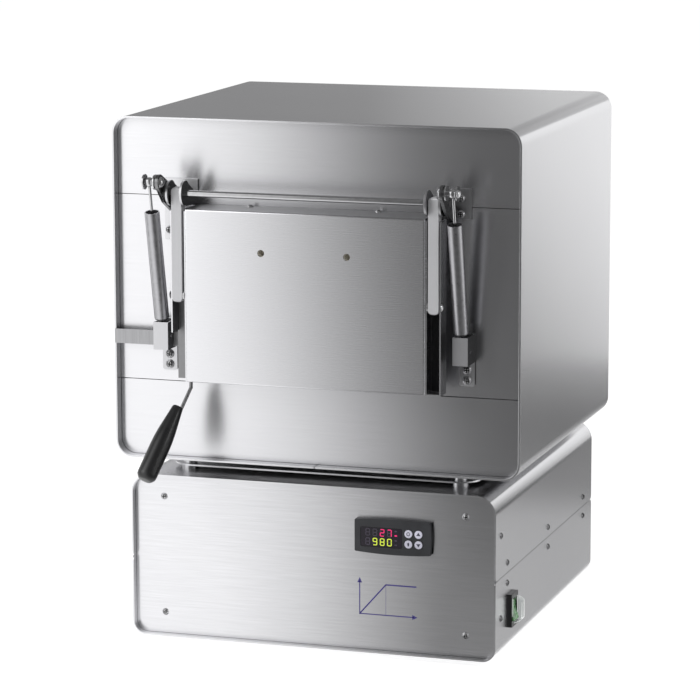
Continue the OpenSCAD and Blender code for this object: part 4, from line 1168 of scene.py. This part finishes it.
def reflector(name, low, high, run, stops):
    """A graded card beside the kiln, seen only in polished surfaces."""
    low, high = Vector(low), Vector(high)
    size = high - low
    deselect()
    turn, spans = (0, 0, 0), (size.x, size.y)
    if size.y == 0:
        turn, spans = (math.pi / 2, 0, 0), (size.x, size.z)
    if size.x == 0:
        turn, spans = (math.pi / 2, 0, math.pi / 2), (size.y, size.z)
    bpy.ops.mesh.primitive_plane_add(size=1, location=(low + high) / 2, rotation=turn)
    plane = newest(name)
    plane.scale = (*spans, 1)
    settle(plane)
    material = bpy.data.materials.new(name)
    material.use_nodes = True
    tree = material.node_tree
    tree.nodes.clear()
    place = add_node(tree, "ShaderNodeTexCoord")
    along = add_node(tree, "ShaderNodeVectorMath", operation="DOT_PRODUCT")
    along.inputs[1].default_value = run
    link(tree, place, "Object", along, 0)
    first, last = stops[0][0], stops[-1][0]
    spread = add_node(tree, "ShaderNodeMapRange", **{"From Min": first, "From Max": last})
    link(tree, along, "Value", spread, "Value")
    grade = add_node(tree, "ShaderNodeValToRGB")
    peak = max(level for _, level in stops)
    shares = [(at - first) / (last - first) for at, _ in stops]
    steps = grade.color_ramp.elements
    for share in shares[1:-1]:
        steps.new(share)
    for i, (share, (_, level)) in enumerate(zip(shares, stops)):
        steps[i].position = share
        steps[i].color = (*(level / peak,) * 3, 1)
    link(tree, spread, "Result", grade, "Fac")
    glow = add_node(tree, "ShaderNodeEmission", Strength=peak)
    link(tree, grade, "Color", glow, "Color")
    out = add_node(tree, "ShaderNodeOutputMaterial")
    link(tree, glow, "Emission", out, "Surface")
    plane.data.materials.append(material)
    for rays in ("camera", "diffuse", "shadow", "transmission"):
        setattr(plane, "visible_" + rays, False)


class KILN_OT_stage(bpy.types.Operator):
    """Floor, backdrop, lights and camera"""
    bl_idname = "kiln.stage"
    bl_label = "Stage"

    def execute(self, context):
        self.floor()
        self.world()
        self.lights()
        self.camera()
        context.scene.view_settings.view_transform = "Standard"
        return {"FINISHED"}

    def floor(self):
        """A pale floor that the camera sees as white, with the kiln's soft shadow on it."""
        deselect()
        bpy.ops.mesh.primitive_plane_add(size=80, location=(0, 0, 0))
        floor = newest("floor")
        tree, shader = new_material("floor_pale", (0.80, 0.80, 0.80), 0.0, 0.95)
        shader.inputs["Specular IOR Level"].default_value = 0.0
        lift = add_node(tree, "ShaderNodeMath", operation="MULTIPLY")
        tree.links.new(looked_at(tree), lift.inputs[0])
        lift.inputs[1].default_value = FLOOR_GLOW
        shader.inputs["Emission Color"].default_value = (1, 1, 1, 1)
        link(tree, lift, "Value", shader, "Emission Strength")
        dress(floor, "floor_pale")

    def world(self):
        """White where it is looked at, and dimmer as soft light."""
        world = bpy.data.worlds.new("studio")
        bpy.context.scene.world = world
        world.use_nodes = True
        tree = world.node_tree
        tree.nodes.clear()
        white = bpy.context.scene.kiln_stage.backdrop
        seen = add_node(tree, "ShaderNodeBackground", Strength=white)
        felt = add_node(tree, "ShaderNodeBackground", Strength=WORLD_LIGHT)
        mix = add_node(tree, "ShaderNodeMixShader")
        tree.links.new(looked_at(tree), mix.inputs[0])
        link(tree, felt, "Background", mix, 1)
        link(tree, seen, "Background", mix, 2)
        out = add_node(tree, "ShaderNodeOutputWorld")
        link(tree, mix, 0, out, "Surface")

    def lights(self):
        stage = bpy.context.scene.kiln_stage
        soft_box("key", (-1.7, -1.9, 1.7), 1.4, stage.key_power)
        soft_box("fill", (2.2, -0.6, 1.6), 1.2, stage.fill_power)
        for name, card in CARDS.items():
            reflector(name, *card)

    def camera(self):
        data = bpy.data.cameras.new("camera")
        data.sensor_width = SENSOR_WIDTH
        data.lens = FOCAL / FRAME_WIDTH * SENSOR_WIDTH
        data.clip_end = 50
        yaw, pitch, roll = CAMERA_TURNS
        forward = Vector((math.sin(yaw) * math.cos(pitch), math.cos(yaw) * math.cos(pitch),
                          -math.sin(pitch)))
        right = Vector((math.cos(yaw), -math.sin(yaw), 0))
        up = right.cross(forward)
        right, up = (right * math.cos(roll) + up * math.sin(roll),
                     up * math.cos(roll) - right * math.sin(roll))
        x, y, z = CAMERA_PLACE
        place = Vector((x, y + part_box("outer_wrapper")[0].y, z))
        turn = Matrix((right, up, -forward)).transposed().to_4x4()
        bpy.context.scene.camera = placed(data, Matrix.Translation(place) @ turn)


# Panel and run

class KILN_PT_sidebar(bpy.types.Panel):
    """Steps that dress the kiln"""
    bl_idname = "KILN_PT_sidebar"
    bl_label = "Jewellery kiln"
    bl_space_type = "VIEW_3D"
    bl_region_type = "UI"
    bl_category = "Kiln"

    def draw(self, context):
        for group in ("kiln_sizes", "kiln_colours", "kiln_stage"):
            settings = getattr(context.scene, group)
            for name in settings.__annotations__:
                self.layout.prop(settings, name)
        for step in STEPS:
            self.layout.operator(step.bl_idname)


STEPS = (KILN_OT_plain_parts, KILN_OT_sheet_metal, KILN_OT_screws, KILN_OT_grip, KILN_OT_keys,
         KILN_OT_controller, KILN_OT_graph, KILN_OT_power_switch, KILN_OT_stage)
GROUPS = {"kiln_sizes": KilnSizes, "kiln_colours": KilnColours, "kiln_stage": KilnStage}
CLASSES = (*GROUPS.values(), *STEPS, KILN_PT_sidebar)


def register():
    for kind in CLASSES:
        bpy.utils.register_class(kind)
    for name, kind in GROUPS.items():
        setattr(bpy.types.Scene, name, bpy.props.PointerProperty(type=kind))


def unregister():
    for name in GROUPS:
        delattr(bpy.types.Scene, name)
    for kind in reversed(CLASSES):
        bpy.utils.unregister_class(kind)


def main():
    register()
    make_materials()
    for step in STEPS:
        area, name = step.bl_idname.split(".")
        getattr(getattr(bpy.ops, area), name)()


if __name__ == "__main__":
    main()
